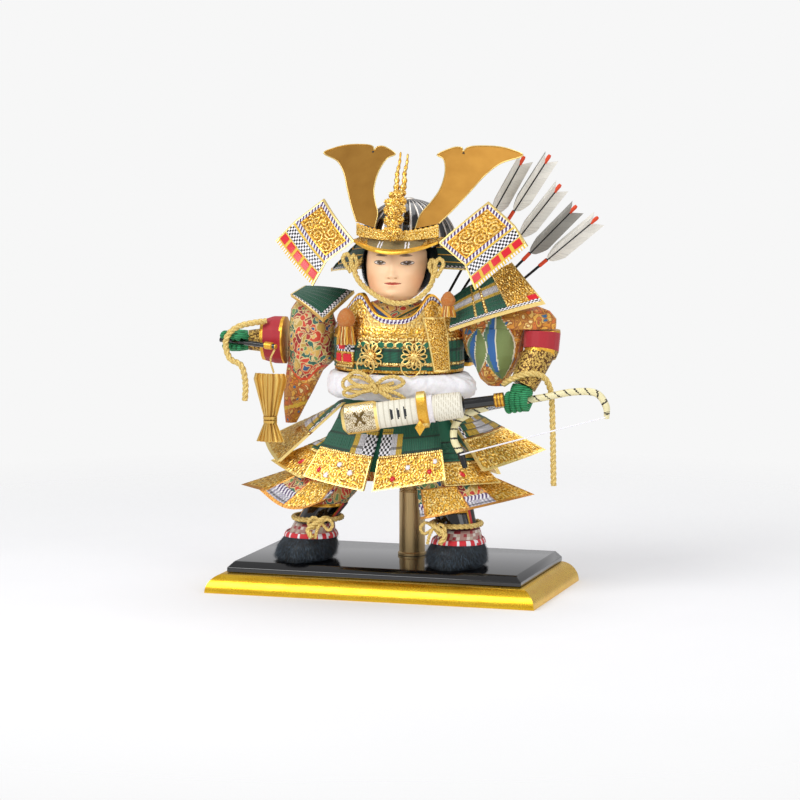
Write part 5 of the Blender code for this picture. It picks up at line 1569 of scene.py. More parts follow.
def face_point(turn, share):
    """The face's surface: turn 0 is straight ahead, share 0 at the neck and 1 at the helmet's edge."""
    levels = (
        (0.00, 0.000, 0.0120, 0.0110),
        (0.05, -0.011, 0.0145, 0.0140),
        (0.12, -0.013, 0.0198, 0.0190),
        (0.24, -0.009, 0.0247, 0.0245),
        (0.37, -0.005, 0.0279, 0.0285),
        (0.49, -0.003, 0.0293, 0.0305),
        (0.62, -0.001, 0.0300, 0.0318),
        (0.76, 0.001, 0.0300, 0.0320),
        (0.90, 0.002, 0.0294, 0.0315),
        (1.00, 0.004, 0.0282, 0.0295),
    )
    ends = [levels[0], *levels, levels[-1]]
    for before, low, high, after in zip(ends, ends[1:], ends[2:], ends[3:]):
        if share <= high[0]:
            break
    t = (share - low[0]) / (high[0] - low[0])
    spot = []
    for k in (1, 2, 3):
        slope_a = (high[k] - before[k]) / max(0.05, high[0] - before[0]) * (high[0] - low[0])
        slope_b = (after[k] - low[k]) / max(0.05, after[0] - low[0]) * (high[0] - low[0])
        t2, t3 = t * t, t * t * t
        spot.append((2 * t3 - 3 * t2 + 1) * low[k] + (t3 - 2 * t2 + t) * slope_a * 0.8
                    + (3 * t2 - 2 * t3) * high[k] + (t3 - t2) * slope_b * 0.8)
    back, half_width, half_depth = spot
    ahead = -math.pi / 2 + HEAD_TURN + turn
    z = NECK_Z + share * (BOWL_BOTTOM_Z - NECK_Z)
    y = HEAD_CENTRE.y + back + half_depth * math.sin(ahead)
    point = Vector((HEAD_CENTRE.x + half_width * math.cos(ahead), y, z))
    x = math.degrees(turn)

    def dent(cx, cs, wx, ws):
        return math.exp(-(((x - cx) / wx) ** 2) - ((share - cs) / ws) ** 2)

    lift = 0.0034 * dent(0, 0.50, 7.5, 0.075) + 0.0016 * dent(0, 0.66, 5.5, 0.14)
    lift += 0.0010 * (dent(-7, 0.475, 4, 0.03) + dent(7, 0.475, 4, 0.03))
    lift -= 0.0018 * (dent(-25, 0.73, 11, 0.055) + dent(25, 0.73, 11, 0.055))
    lift += 0.0010 * (dent(-27, 0.52, 14, 0.10) + dent(27, 0.52, 14, 0.10))
    lift += 0.0011 * dent(0, 0.385, 10, 0.025) + 0.0012 * dent(0, 0.315, 8, 0.025)
    lift -= 0.0010 * dent(0, 0.350, 14, 0.012)
    lift += 0.0013 * dent(0, 0.15, 14, 0.07)
    lift -= 0.0008 * dent(0, 0.24, 11, 0.03)
    out = Vector((math.cos(ahead), math.sin(ahead), 0.0))
    return point + out * lift, out


def dress_head():
    """A painted face: dark almond eyes, short brows under the visor, a thin mouth."""
    hair_turn = 66
    powder, cheek = linear("#F8CDA2"), linear("#EE9A62")

    def look(x, share):
        if abs(x) > hair_turn and share > 0.26:
            return hue.black
        warm = math.exp(-(((abs(x) - 46) / 20) ** 2) - ((share - 0.38) / 0.2) ** 2)
        lip = abs(x) / 13.5
        if lip < 1:
            top = 0.352 + 0.030 * (1 - lip) * (1 - 0.5 * math.exp(-((x / 2.2) ** 2))) + 0.004 * lip
            low = 0.346 - 0.020 * (1 - lip * lip)
            if low < share < top:
                return linear("#7E2420") if abs(share - 0.350) < 0.004 or lip > 0.8 else linear("#C24638")
        if abs(abs(x) - 5.0) < 1.8 and abs(share - 0.452) < 0.008:
            return linear("#B9713F")
        brow = (abs(x) - 22) / 12.5
        if abs(brow) < 1 and abs(share - 0.842 - 0.012 * (1 - brow * brow)) < 0.026 * (1 - brow * brow):
            return blend(linear("#3A2016"), powder, 0.05 + 0.3 * abs(brow))
        eye = (abs(x) - 24.5) / 12.0
        if abs(eye) < 1:
            low = 0.708 - 0.026 * (1 - eye * eye) + 0.006 * eye
            high = 0.716 + 0.030 * (1 - eye * eye) ** 0.7 + 0.006 * eye
            if low - 0.006 < share < high + 0.009:
                if share > high - 0.007 or share < low + 0.004:
                    return linear("#0C0605")
                iris = math.hypot((eye + 0.05) * 1.0, (share - 0.722) / 0.052)
                # A white spot in the iris: a painted highlight.
                if math.hypot(eye + 0.12, (share - 0.733) / 0.04) < 0.13:
                    return hue.white
                return linear("#070403") if iris < 0.38 else linear("#24120B") if iris < 0.62 else linear("#F0E8E2")
        return blend(powder, cheek, 0.55 * warm)

    columns, rows = 204, 176
    shares = [2 * i / columns - 1 for i in range(columns)]
    turns = [math.pi * (0.45 * share + 0.55 * share ** 3) for share in shares]
    rings = [[face_point(turn, j / rows)[0] for turn in turns] for j in range(rows + 1)]

    def painted(face):
        middle = face.calc_center_median()
        ahead = math.atan2(middle.y - HEAD_CENTRE.y, middle.x - HEAD_CENTRE.x)
        x = (math.degrees(ahead + math.pi / 2 - HEAD_TURN) + 180) % 360 - 180
        return look(x, (middle.z - NECK_Z) / (BOWL_BOTTOM_Z - NECK_Z)), 0

    bm = paint(skin(rings), painted)
    finish("painted_face", bm, "face_powder", ("head",), 80, True)


def dress_hair():
    """Side locks: fine strands from the temple to the jaw, standing off the cheeks."""
    chance = random.Random(3)
    bm = bmesh.new()
    layer = bm.loops.layers.float_color.new("tint")
    tones = [linear(c) for c in ("#050607", "#0A0C0F", "#14181D", "#20262C")]
    for sign in (-1, 1):
        for _ in range(fine.lock_strands):
            turn = math.radians(sign * chance.uniform(64, 118))
            low = chance.uniform(0.16, 0.34)
            lift = chance.uniform(0.0002, 0.0042)
            tone = chance.choice(tones)
            strand = []
            for k in range(7):
                share = lerp(0.99, low, k / 6)
                point, out = face_point(turn + math.radians(sign * 2 * math.sin(k)), share)
                side = Vector((-out.y, out.x, 0)) * (0.0003 * (1 - k / 6.5))
                bend = lift * math.sin(math.pi * min(1.0, 0.2 + 0.7 * k / 6))
                strand.append((bm.verts.new(point + out * bend - side), bm.verts.new(point + out * bend + side)))
            for (a, b), (c, d) in zip(strand, strand[1:]):
                for loop in bm.faces.new((a, b, d, c)).loops:
                    loop[layer] = tone
    finish("side_locks", bm, "black_hair", (), 60, True)


def bowl_half(z):
    rise = min(1.0, max(0.0, (z - BOWL_BOTTOM_Z) / BOWL_HEIGHT))
    share = math.sqrt(max(0.0, 1 - rise * rise))
    return BOWL_HALF_WIDTH * share, BOWL_HALF_DEPTH * share


def bowl_front(s, z, clear):
    half_width, half_depth = bowl_half(z)
    share = min(1.0, abs(s) / half_width)
    return HELMET_CENTRE.y - half_depth * math.sqrt(1 - share * share) - clear


def dress_bowl():
    ribs = 28
    wall = 1 - 0.003 / BOWL_HALF_WIDTH
    outer = [(math.cos(t), math.sin(t)) for t in (math.radians(86 * i / 22) for i in range(23))]
    inner = [(math.cos(t) * wall, math.sin(t) * wall) for t in (math.radians(86 - 86 * i / 8) for i in range(9))]
    profile = outer + inner

    def place(p):
        turn = math.atan2(p.y, p.x)
        radius = math.hypot(p.x, p.y)
        outside = radius * radius + p.z * p.z > (1 + wall * wall) / 2
        phase = (turn * ribs / (2 * math.pi)) % 1.0
        ridge = math.exp(-(((phase - 0.5) / 0.14) ** 2))
        scale = 0.972 + 0.028 * ridge if outside else 1.0
        x = BOWL_HALF_WIDTH * radius * scale * math.cos(turn)
        y = BOWL_HALF_DEPTH * radius * scale * math.sin(turn)
        return HELMET_CENTRE + Vector((x, y, BOWL_BOTTOM_Z + BOWL_HEIGHT * p.z))

    bm = turned(profile, ribs * 8)

    def look(face):
        middle = face.calc_center_median()
        turn = math.atan2(middle.y, middle.x)
        phase = (turn * ribs / (2 * math.pi)) % 1.0
        if middle.length > (1 + wall) / 2 and abs(phase - 0.5) < 0.08:
            return hue.silver, 1
        return hue.black, 0

    paint(bm, look)
    finish("ribbed_bowl", reshape(bm, place), LACQUERED, ("helmet_bowl",), 60)
    crown = Vector((HELMET_CENTRE.x, HELMET_CENTRE.y, BOWL_BOTTOM_Z + BOWL_HEIGHT * 0.985))
    profile = [(0.0025, 0.0), (0.0052, -0.0004), (0.0050, 0.0007),
               (0.0038, 0.0013), (0.0030, 0.0016), (0.0024, 0.0010)]
    petals = turned(profile, 48)

    def petal(p):
        wave = 1 + 0.08 * math.cos(8 * math.atan2(p.y, p.x))
        return crown + Vector((p.x * wave, p.y * wave, p.z))

    paint(petals, lambda face: (hue.silver, 0))
    finish("crown_ring", reshape(petals, petal), "stamped_gilt", (), 50)


def band_y(s):
    centre = HELMET_CENTRE.y - BOWL_HALF_DEPTH - SEAT - BAND_THICKNESS
    if abs(s) <= BAND_HALF_WIDTH:
        return centre + 0.0105 * (s / BAND_HALF_WIDTH) ** 2
    return centre + 0.0105 + HORN_SWEEP * (abs(s) - BAND_HALF_WIDTH)


def band_top(s):
    return BAND_TOP_Z + BAND_RISE * (s / BAND_HALF_WIDTH) ** 2


def dress_visor():
    def place(u, v, w):
        s = VISOR_HALF_WIDTH * (2 * u - 1)
        bend = (s / VISOR_HALF_WIDTH) ** 2
        inner_z = BOWL_BOTTOM_Z + 0.0055 + 0.001 * bend
        rim_y = HELMET_CENTRE.y - BOWL_HALF_DEPTH - VISOR_REACH + 0.013 * bend
        rim_z = BOWL_BOTTOM_Z - 0.0058 + 0.0095 * bend
        y = lerp(bowl_front(s, inner_z, SEAT), rim_y, 1 - v)
        z = rim_z + (inner_z - rim_z) * v + w
        return Vector((HELMET_CENTRE.x + s, y, z))

    def look(u, v):
        x = (u - 0.5) * 2 * VISOR_HALF_WIDTH
        if v < 0.22:
            return 0.0012, hue.gold, 0
        if abs(x) > 0.0235 + 0.004 * v:
            return gilt_look(x, v * 0.016, 0.0012, 0.006)
        if v > 0.88:
            return 0.0006, hue.gold, 0
        tick = abs(abs(x) - 0.0125 + 0.0018 * (v - 0.5))
        if 0.32 < v < 0.8 and abs(tick - 0.0014) < 0.0006:
            return 0.0009, hue.white, 1
        return 0.0002, linear("#6B6152"), 2

    bm = relief_sheet(150, 20, place, look, 0.0012)
    finish("peak", bm, ("stamped_gilt", "painted_trim", "gilt_leather"), ("helmet_visor",), 50)

    def band_place(u, v, w):
        s = BAND_HALF_WIDTH * (2 * u - 1)
        low = BOWL_BOTTOM_Z + 0.0065 + 0.003 * (s / BAND_HALF_WIDTH) ** 2
        scallop = 0.0009 * abs(math.sin(18 * math.pi * u)) * v
        z = low + (band_top(s) - 0.0009 - low) * v + scallop
        return Vector((HELMET_CENTRE.x + s, band_y(s) + BAND_THICKNESS / 2 - w, z))

    def band_look(u, v):
        x = u * 0.08
        bead = math.hypot(((x / 0.0022) % 1.0) - 0.5, (v - 0.86) * 4)
        if v > 0.7:
            return (0.0009, hue.pale_gold_and_highlight, 0) if bead < 0.42 else (0.0002, hue.gold, 0)
        # Raised grain: pale gold on its high points as painted highlight, dark gold in its low points as painted
        # shade.
        glitter = noise.noise(Vector((x * 1000, v * 7, 0)))
        colour = hue.pale_gold_and_highlight if glitter > 0.1 else hue.gold if glitter > -0.25 else hue.shaded_gold
        return 0.0004 + 0.0006 * glitter, colour, 0

    bm = relief_sheet(200, 18, band_place, band_look, BAND_THICKNESS)
    finish("brow_band", bm, "stamped_gilt", ("horn_band",), 50)


def horn_y(s, z):
    return band_y(s) + HORN_LEAN * (z - band_top(min(s, BAND_HALF_WIDTH)))


def dress_horns():
    """Flat horns cut from one outline, each with a bright edge and, under its notch, a dark disc as painted shade for
    the hole.
    """
    for side in ("right", "left"):
        out = mirrored(side)
        outline = smooth_outline([Vector((s, BAND_TOP_Z + rise, 0)) for s, rise in HORN_OUTLINE])
        bm = bmesh.new()
        verts = [bm.verts.new((p.x, 0.0, p.y)) for p in outline]
        bmesh.ops.inset_individual(bm, faces=[bm.faces.new(verts)], thickness=0.0011, depth=0.0, use_even_offset=True)
        back = bmesh.ops.extrude_face_region(bm, geom=bm.faces[:], use_keep_orig=True)
        for vert in (g for g in back["geom"] if isinstance(g, bmesh.types.BMVert)):
            vert.co.y = -HORN_THICKNESS
        bmesh.ops.triangulate(bm, faces=[f for f in bm.faces if len(f.verts) > 4])
        for vert in bm.verts:
            s, z = vert.co.x, vert.co.z
            vert.co = (HELMET_CENTRE.x + out * s, horn_y(s, z) + vert.co.y + HORN_THICKNESS / 2, z)
        finish(f"{side}_flat_horn", bm, "horn_gold", (f"{side}_horn",), 30)
        route = [Vector((HELMET_CENTRE.x + out * p.x, horn_y(p.x, p.y) - HORN_THICKNESS / 2 - 0.0001, p.y))
                 for p in outline]
        rim = paint(tube(route, [0.00055] * len(route), 6), lambda face: (hue.pale_gold_and_highlight, 0))
        finish(f"{side}_horn_edge", rim, "stamped_gilt", (), 60, True)
        # A flattened black ball fills the hole under the notch as painted shade.
        s, z = 0.0425, BAND_TOP_Z + 0.0655
        y = horn_y(s, z) - HORN_THICKNESS / 2
        ring = bmesh.new()
        bmesh.ops.create_uvsphere(ring, u_segments=16, v_segments=8, radius=0.0012)
        for vert in ring.verts:
            vert.co = Vector((HELMET_CENTRE.x + out * s + vert.co.x, y + vert.co.y * 0.25, z + vert.co.z))
        finish(f"{side}_horn_hole", ring, "black_hair", (), 60)


def smooth_outline(points):
    """An outline rounded between its corners and left open, without points closer than 0.4 mm."""
    route = smooth_route(points, 5)
    kept = [route[0]]
    for point in route[1:]:
        if (point - kept[-1]).length > 0.0004:
            kept.append(point)
    return kept


def dress_crest():
    """A knobbly mass of gilt with two upright points rising behind it."""
    low = BOWL_BOTTOM_Z + 0.0175
    lean = 0.46
    front = band_y(0.0) - BAND_THICKNESS / 2 - 0.0004 - 0.0030
    origin = Vector((HELMET_CENTRE.x, front, low))

    def spot(x, rise, out=0.0):
        return origin + Vector((x, lean * rise - out, rise))

    parts = []
    for x, rise, out, radius in (
        (0.0, -0.006, 0.0, 0.0042), (-0.0055, -0.003, 0.0, 0.0030), (0.0055, -0.003, 0.0, 0.0030),
        (0.0, 0.002, 0.001, 0.0046), (-0.0050, 0.006, 0.0, 0.0034), (0.0052, 0.007, 0.0, 0.0034),
        (0.0005, 0.011, 0.002, 0.0050), (-0.0058, 0.015, 0.001, 0.0036), (0.0060, 0.016, 0.001, 0.0036),
        (-0.0015, 0.020, 0.003, 0.0054), (0.0058, 0.023, 0.001, 0.0034), (-0.0066, 0.022, 0.002, 0.0030),
        (0.0010, 0.028, 0.001, 0.0042), (-0.0040, 0.028, 0.001, 0.0028), (0.0050, 0.030, 0.0, 0.0026),
    ):
        lump = bmesh.new()
        bmesh.ops.create_icosphere(lump, subdivisions=4, radius=radius)
        middle = spot(x, rise, out)

        def knobbly(p):
            ripple = noise.noise((middle + p) * 900) + 0.6 * noise.noise((middle + p) * 2000)
            return middle + Vector((p.x * 1.12, p.y * 0.7, p.z * 1.1)) * (1 + 0.42 * ripple)

        parts.append(reshape(lump, knobbly))
    for x, top in ((-0.0018, 0.0655), (0.0050, 0.0640)):
        line = [spot(x * 0.6, 0.028), spot(x + 0.0006, 0.038, 0.001), spot(x - 0.0006, 0.047),
                spot(x + 0.0003, 0.056), spot(x, top)]
        route = smooth_route(line, 8)
        last = len(route) - 1
        radii = [(0.0031 - 0.0023 * (i / last) ** 0.8) * (1 + 0.22 * math.sin(i * 1.3)) for i in range(last + 1)]
        parts.append(tube(route, radii, 12))

    def look(face):
        # Faces turned up get pale gold as a painted highlight from above, faces turned down dark gold as painted
        # shade, stirred by noise.
        glint = noise.noise(face.calc_center_median() * 1300) + 0.5 * face.normal.z
        return hue.pale_gold_and_highlight if glint > 0.3 else hue.gold if glint > -0.22 else hue.shaded_gold, 0

    bm = paint(join(parts), look)
    finish("gilt_crest", bm, "stamped_gilt", ("crest",), 60, True)


WING_STATIONS = (
    (0.0, (0.0392, -0.0370, 0.0045), (0.0765, -0.0095, 0.0400)),
    (0.6, (0.0640, -0.0410, -0.0140), (0.1020, -0.0150, 0.0200)),
    (1.0, (0.0750, -0.0460, -0.0355), (0.1170, -0.0250, 0.0025)),
)


def wing_point(out, u, v, w):
    down = 1 - v
    for (start, in_a, out_a), (end, in_b, out_b) in zip(WING_STATIONS, WING_STATIONS[1:]):
        if down <= end:
            break
    t = min(1.0, (down - start) / (end - start))
    a = Vector(in_a).lerp(Vector(in_b), t)
    b = Vector(out_a).lerp(Vector(out_b), t)
    point = a.lerp(b, u)
    point.y -= 0.004 * math.sin(math.pi * u) - 0.002 + w
    return Vector((HELMET_CENTRE.x + out * point.x, HELMET_CENTRE.y + point.y, BOWL_BOTTOM_Z + point.z))


def dress_wings():
    for side in ("right", "left"):
        out = mirrored(side)

        def look(u, v):
            x, y = u * 0.050, (1 - v) * 0.058
            if v > 0.97 or u < 0.025 or u > 0.975:
                return 0.0012, hue.pale_gold_and_highlight, 0
            if v > 0.91:
                return dotted_look(x, y)
            if v > 0.46:
                if u < 0.09 or u > 0.91:
                    return dotted_look(y, x)
                if min(v - 0.46, 0.91 - v) < 0.025 or min(u - 0.09, 0.91 - u) < 0.025:
                    return 0.0015, hue.gold, 0
                return gilt_look(x, y, 0.0016, 0.0125)
            if v > 0.39:
                return dotted_look(x, y)
            if v > 0.355:
                return 0.0009, hue.yellow, 1
            if v > 0.20:
                return check_look(x, y, 0.0019)
            if v > 0.055:
                inside = ((x - 0.0005) / 0.0098) % 1.0
                red = 0.13 < inside < 0.87 and 0.075 < v < 0.185
                return (0.0017, hue.red, 2) if red else (0.0011, hue.yellow, 1)
            return 0.0009, hue.white if (x / 0.0024) % 1.0 < 0.55 else hue.yellow, 1

        bm = relief_sheet(112, 118, lambda u, v, w: wing_point(out, u, v, w), look, 0.0018)
        finish(f"{side}_wing_plate", bm, LACED, (f"{side}_helmet_wing",), 50)


def dress_neck_guard():
    sweep = math.radians(98)

    def place(u, v, w):
        angle = -sweep + 2 * sweep * u
        down = 1 - v
        inner = (BOWL_HALF_WIDTH + SEAT, BOWL_HALF_DEPTH + SEAT)
        back = NECK_GUARD_BACK if abs(angle) < math.pi / 2 else 0.7 * NECK_GUARD_BACK
        half_width = lerp(inner[0], NECK_GUARD_HALF_WIDTH, down)
        half_depth = lerp(inner[1], back, down)
        z = BOWL_BOTTOM_Z + 0.001 - NECK_GUARD_DROP * down + w
        return HELMET_CENTRE + Vector((half_width * math.sin(angle), half_depth * math.cos(angle), z))

    def look(u, v):
        x, y = u * 0.21, (1 - v) * 0.034
        if v < 0.05:
            return 0.0012, hue.pale_gold_and_highlight, 0
        if v < 0.13:
            return check_look(x, y)
        if ((1 - v) * 4) % 1.0 > 0.86:
            return 0.0009, hue.gold, 0
        return braid_look(x, y, hue.green, 0.0024, 0.0085)

    bm = relief_sheet(220, 36, place, look, 0.0018)
    finish("neck_lames", bm, LACED, ("neck_guard",), 50)


def tassel(name, top, width, length):
    """A soft amber ball over a skirt of fine gold cords."""
    head = bmesh.new()
    bmesh.ops.create_icosphere(head, subdivisions=4, radius=width * 0.5)

    def plump(p):
        pinch = 1 - 0.25 * max(0.0, p.z) / (width * 0.5)
        ripple = 1 + 0.07 * noise.noise((top + p) * 500)
        return top + Vector((p.x * pinch, p.y * pinch * 0.85, p.z * 1.12)) * ripple

    def head_look(face):
        return blend(hue.amber, hue.copper, 0.5 + noise.noise(face.calc_center_median() * 700)), 0

    parts = [paint(reshape(head, plump), head_look)]
    chance = random.Random(11)
    for number in range(fine.tassel_cords):
        turn = 2 * math.pi * number / fine.tassel_cords
        ring = 0.45 + 0.55 * ((number * 7) % 5) / 4
        a = top + Vector((math.cos(turn) * width * 0.36 * ring, math.sin(turn) * width * 0.30 * ring, -width * 0.42))
        fall = -length * chance.uniform(0.92, 1.0)
        b = a + Vector((math.cos(turn) * width * 0.16, math.sin(turn) * width * 0.12, fall))
        line = [a.lerp(b, k / 4) + Vector((0.0003 * math.sin(k * 2 + number), 0, 0)) for k in range(5)]
        shade = chance.choice((hue.gold, hue.pale_gold_and_highlight, hue.amber))
        parts.append(paint(tube(line, [0.0006] * 5, 5), lambda face: (shade, 0)))
    finish(name, join(parts), "silk_braid", (), 60, True)


def dress_chin():
    cheek = BOWL_BOTTOM_Z - 0.012
    points = (
        (HEAD_CENTRE.x - 0.0300, -0.0240, cheek),
        (HEAD_CENTRE.x - 0.0345, -0.0350, cheek - 0.009),
        (HEAD_CENTRE.x - 0.0290, -0.0410, cheek - 0.019),
        (HEAD_CENTRE.x - 0.0180, -0.0450, cheek - 0.0270),
        (HEAD_CENTRE.x - 0.0040, -0.0495, cheek - 0.0340),
        (HEAD_CENTRE.x + 0.0100, -0.0505, cheek - 0.0370),
        (HEAD_CENTRE.x + 0.0250, -0.0485, cheek - 0.0340),
        (HEAD_CENTRE.x + 0.0360, -0.0430, cheek - 0.0240),
        (HEAD_CENTRE.x + 0.0385, -0.0350, cheek - 0.0120),
        (HEAD_CENTRE.x + 0.0325, -0.0240, cheek),
    )
    rope_piece("chin_rope", rope(points, ROPE_RADIUS), "chin_cord")
    parts = []
    for sign, knot in (
        (-1, Vector((HEAD_CENTRE.x - 0.0345, -0.0365, cheek - 0.010))),
        (1, Vector((HEAD_CENTRE.x + 0.0385, -0.0360, cheek - 0.0125))),
    ):
        for loop in (
            ((0, 0, -0.004), (0.002, -0.002, 0.008), (0.006, -0.003, 0.015),
             (0.010, -0.003, 0.010), (0.003, -0.001, -0.002)),
            ((0, 0, 0), (-0.003, -0.003, 0.008), (0.000, -0.003, 0.014), (0.003, -0.002, 0.006), (0, 0, -0.001)),
        ):
            parts.append(rope([knot + Vector((p[0] * sign, p[1], p[2])) for p in loop], ROPE_RADIUS * 0.75))
    rope_piece("chin_bows", join(parts))
    tassel("chin_tassel_right", Vector((-0.0300, -0.0460, 0.2480)), 0.0165, 0.0170)
    tassel("chin_tassel_left", Vector((0.0630, -0.0410, 0.2665)), 0.0130, 0.0100)


# ---------------------------------------------------------------- weapons


QUIVER_TOP_Z = 0.236
QUIVER_X = 0.040
QUIVER_Y = BODY_CENTRE.y + CHEST[1] + 0.0171
ARROWS = (
    (0.022, 0.3890, 0.1055),
    (0.031, 0.3905, 0.1295),
    (0.040, 0.3640, 0.1395),
    (0.049, 0.3450, 0.1545),
    (0.058, 0.3350, 0.1745),
)


def arrow_vane(root, along, out, thin, grey):
    """One vane: a thin blade rounded at its foot and cut slantwise at its top, barred by its barbs."""
    rings = []
    for k in range(61):
        s = k / 60
        wide = (VANE_RADIUS + 0.0010) * min(1.0, math.sqrt(max(0.0, s) / 0.16) * 0.9 + 0.1)
        notch = 0.0002 * (k % 2)
        a = root + along * (0.0520 * s) + out * ARROW_RADIUS * 0.8
        b = root + along * (0.0520 * s + 0.0075 * min(1.0, s * 4)) + out * (wide - notch)
        rings.append([a - thin, b - thin * 0.5, b + thin * 0.5, a + thin])

    def look(face):
        offset = face.calc_center_median() - root
        barb = ((offset.dot(along) - 0.9 * offset.dot(out)) / 0.0018) % 1.0 < 0.4
        shade = 0.40 if grey else 1.0
        return [c * shade * (0.86 if barb else 1.0) for c in linear("#F3F0E6")[:3]] + [1.0], 0

    return paint(skin(rings), look)


def dress_arrows():
    levels = (
        (QUIVER_TOP_Z - 0.0365, 0.021, 0.012),
        (QUIVER_TOP_Z - 0.0330, 0.023, 0.0125),
        (QUIVER_TOP_Z - 0.0060, 0.024, 0.0128),
        (QUIVER_TOP_Z - 0.0050, 0.026, 0.014),
        (QUIVER_TOP_Z, 0.026, 0.014),
    )
    rings = []
    for z, half_width, half_depth in levels:
        ring = []
        for sx, sy in ((1, 1), (-1, 1), (-1, -1), (1, -1)):
            centre = Vector((QUIVER_X + sx * (half_width - 0.003), QUIVER_Y + sy * (half_depth - 0.003), z))
            first = math.atan2(sy, sx) - math.pi / 4
            corner = [first + math.pi / 8 * k for k in range(5)]
            ring += [centre + Vector((math.cos(t), math.sin(t), 0)) * 0.003 for t in corner]
        rings.append(ring)
    bm = skin(rings)

    def look(face):
        z = face.calc_center_median().z
        return (hue.gold, 1) if z > QUIVER_TOP_Z - 0.0055 or z < QUIVER_TOP_Z - 0.034 else (hue.black, 0)

    paint(bm, look)
    finish("lacquer_quiver", bm, LACQUERED, ("quiver",), 40)
    for number, (foot_x, top_z, top_x) in enumerate(ARROWS):
        foot = Vector((foot_x, QUIVER_Y, QUIVER_TOP_Z + GAP))
        head = Vector((top_x, QUIVER_Y + 0.012, top_z))
        along = (head - foot).normalized()
        foot.z += ARROW_RADIUS * math.hypot(along.x, along.y)
        across = Vector((0, 1, 0)).cross(along).normalized()
        deep = along.cross(across)
        length = (head - foot).length
        stops = ((0.0, 1.0), (length - 0.0700, 1.0), (length - 0.0695, 1.45), (length - 0.0605, 1.45),
                 (length - 0.0600, 0.9), (length - 0.0090, 0.9), (length - 0.0085, 1.3), (length - 0.0020, 1.55),
                 (length, 1.1))
        shaft = skin([circle(foot + along * reach, across, deep, ARROW_RADIUS * fat, 14) for reach, fat in stops])

        def shaft_look(face):
            reach = (face.calc_center_median() - foot).dot(along)
            bound = length - 0.0697 < reach < length - 0.0603 or reach > length - 0.0088
            return hue.orange if bound else hue.black, 0

        parts = [paint(shaft, shaft_look)]
        for vane in range(3):
            turn = 2 * math.pi * vane / 3 + 0.25
            out = across * math.cos(turn) + deep * math.sin(turn)
            thin = along.cross(out) * 0.0003
            # Arrow 4 has grey vanes; the second vane of arrow 2 is greyed as painted shade.
            grey = number == 3 or (number, vane) == (1, 1)
            parts.append(arrow_vane(foot + along * (length - 0.0600), along, out, thin, grey))
        finish(f"fletched_arrow_{number + 1}", join(parts), "feather_vane", (f"arrow_{number + 1}",), 40)


def dress_bow():
    """Cream cane bound with slanting black bands, a silver grip wrap and a black lower tip; its string is kept."""
    step = 0.0006
    route = even_route(BOW_ROUTE, step)
    last = len(route) - 1
    rings = []
    for number, (point, (across, up)) in enumerate(zip(route, frames_along(route))):
        end = min(number, last - number) * step
        rings.append(circle(point, across, up, BOW_RADIUS * min(1.0, 0.72 + 25 * end), 24))
    lengths = {}
    bm = skin(rings)

    def look(face):
        middle = face.calc_center_median()
        key = (round(middle.x, 4), round(middle.z, 4))
        if key not in lengths:
            lengths[key] = min(range(last + 1), key=lambda i: (route[i] - middle).length_squared)
        number = lengths[key]
        reach = number * step
        offset = middle - route[number]
        if reach < 0.0150:
            return hue.black, 0
        if 0.0760 < reach < 0.0880:
            odd = (reach / 0.0012 + offset.z / 0.0016) % 1.0 < 0.5
            return hue.silver if odd else linear("#6E7278"), 0
        slant = ((reach + offset.z * 0.9) / 0.0092) % 1.0
        return (linear("#241D18") if slant < 0.17 else linear("#EDE3B4")), 0

    paint(bm, look)
    finish("cane_bow", bm, "cane_wrap", ("bow",), 50, True)
    for held in bpy.data.objects["bow_string"].material_slots:
        held.material = bpy.data.materials["white_crepe"]


def sword_stations(marks):
    along = (SWORD_END - SWORD_START).normalized()
    return [(SWORD_START + along * reach, depth, height) for reach, depth, height in marks]


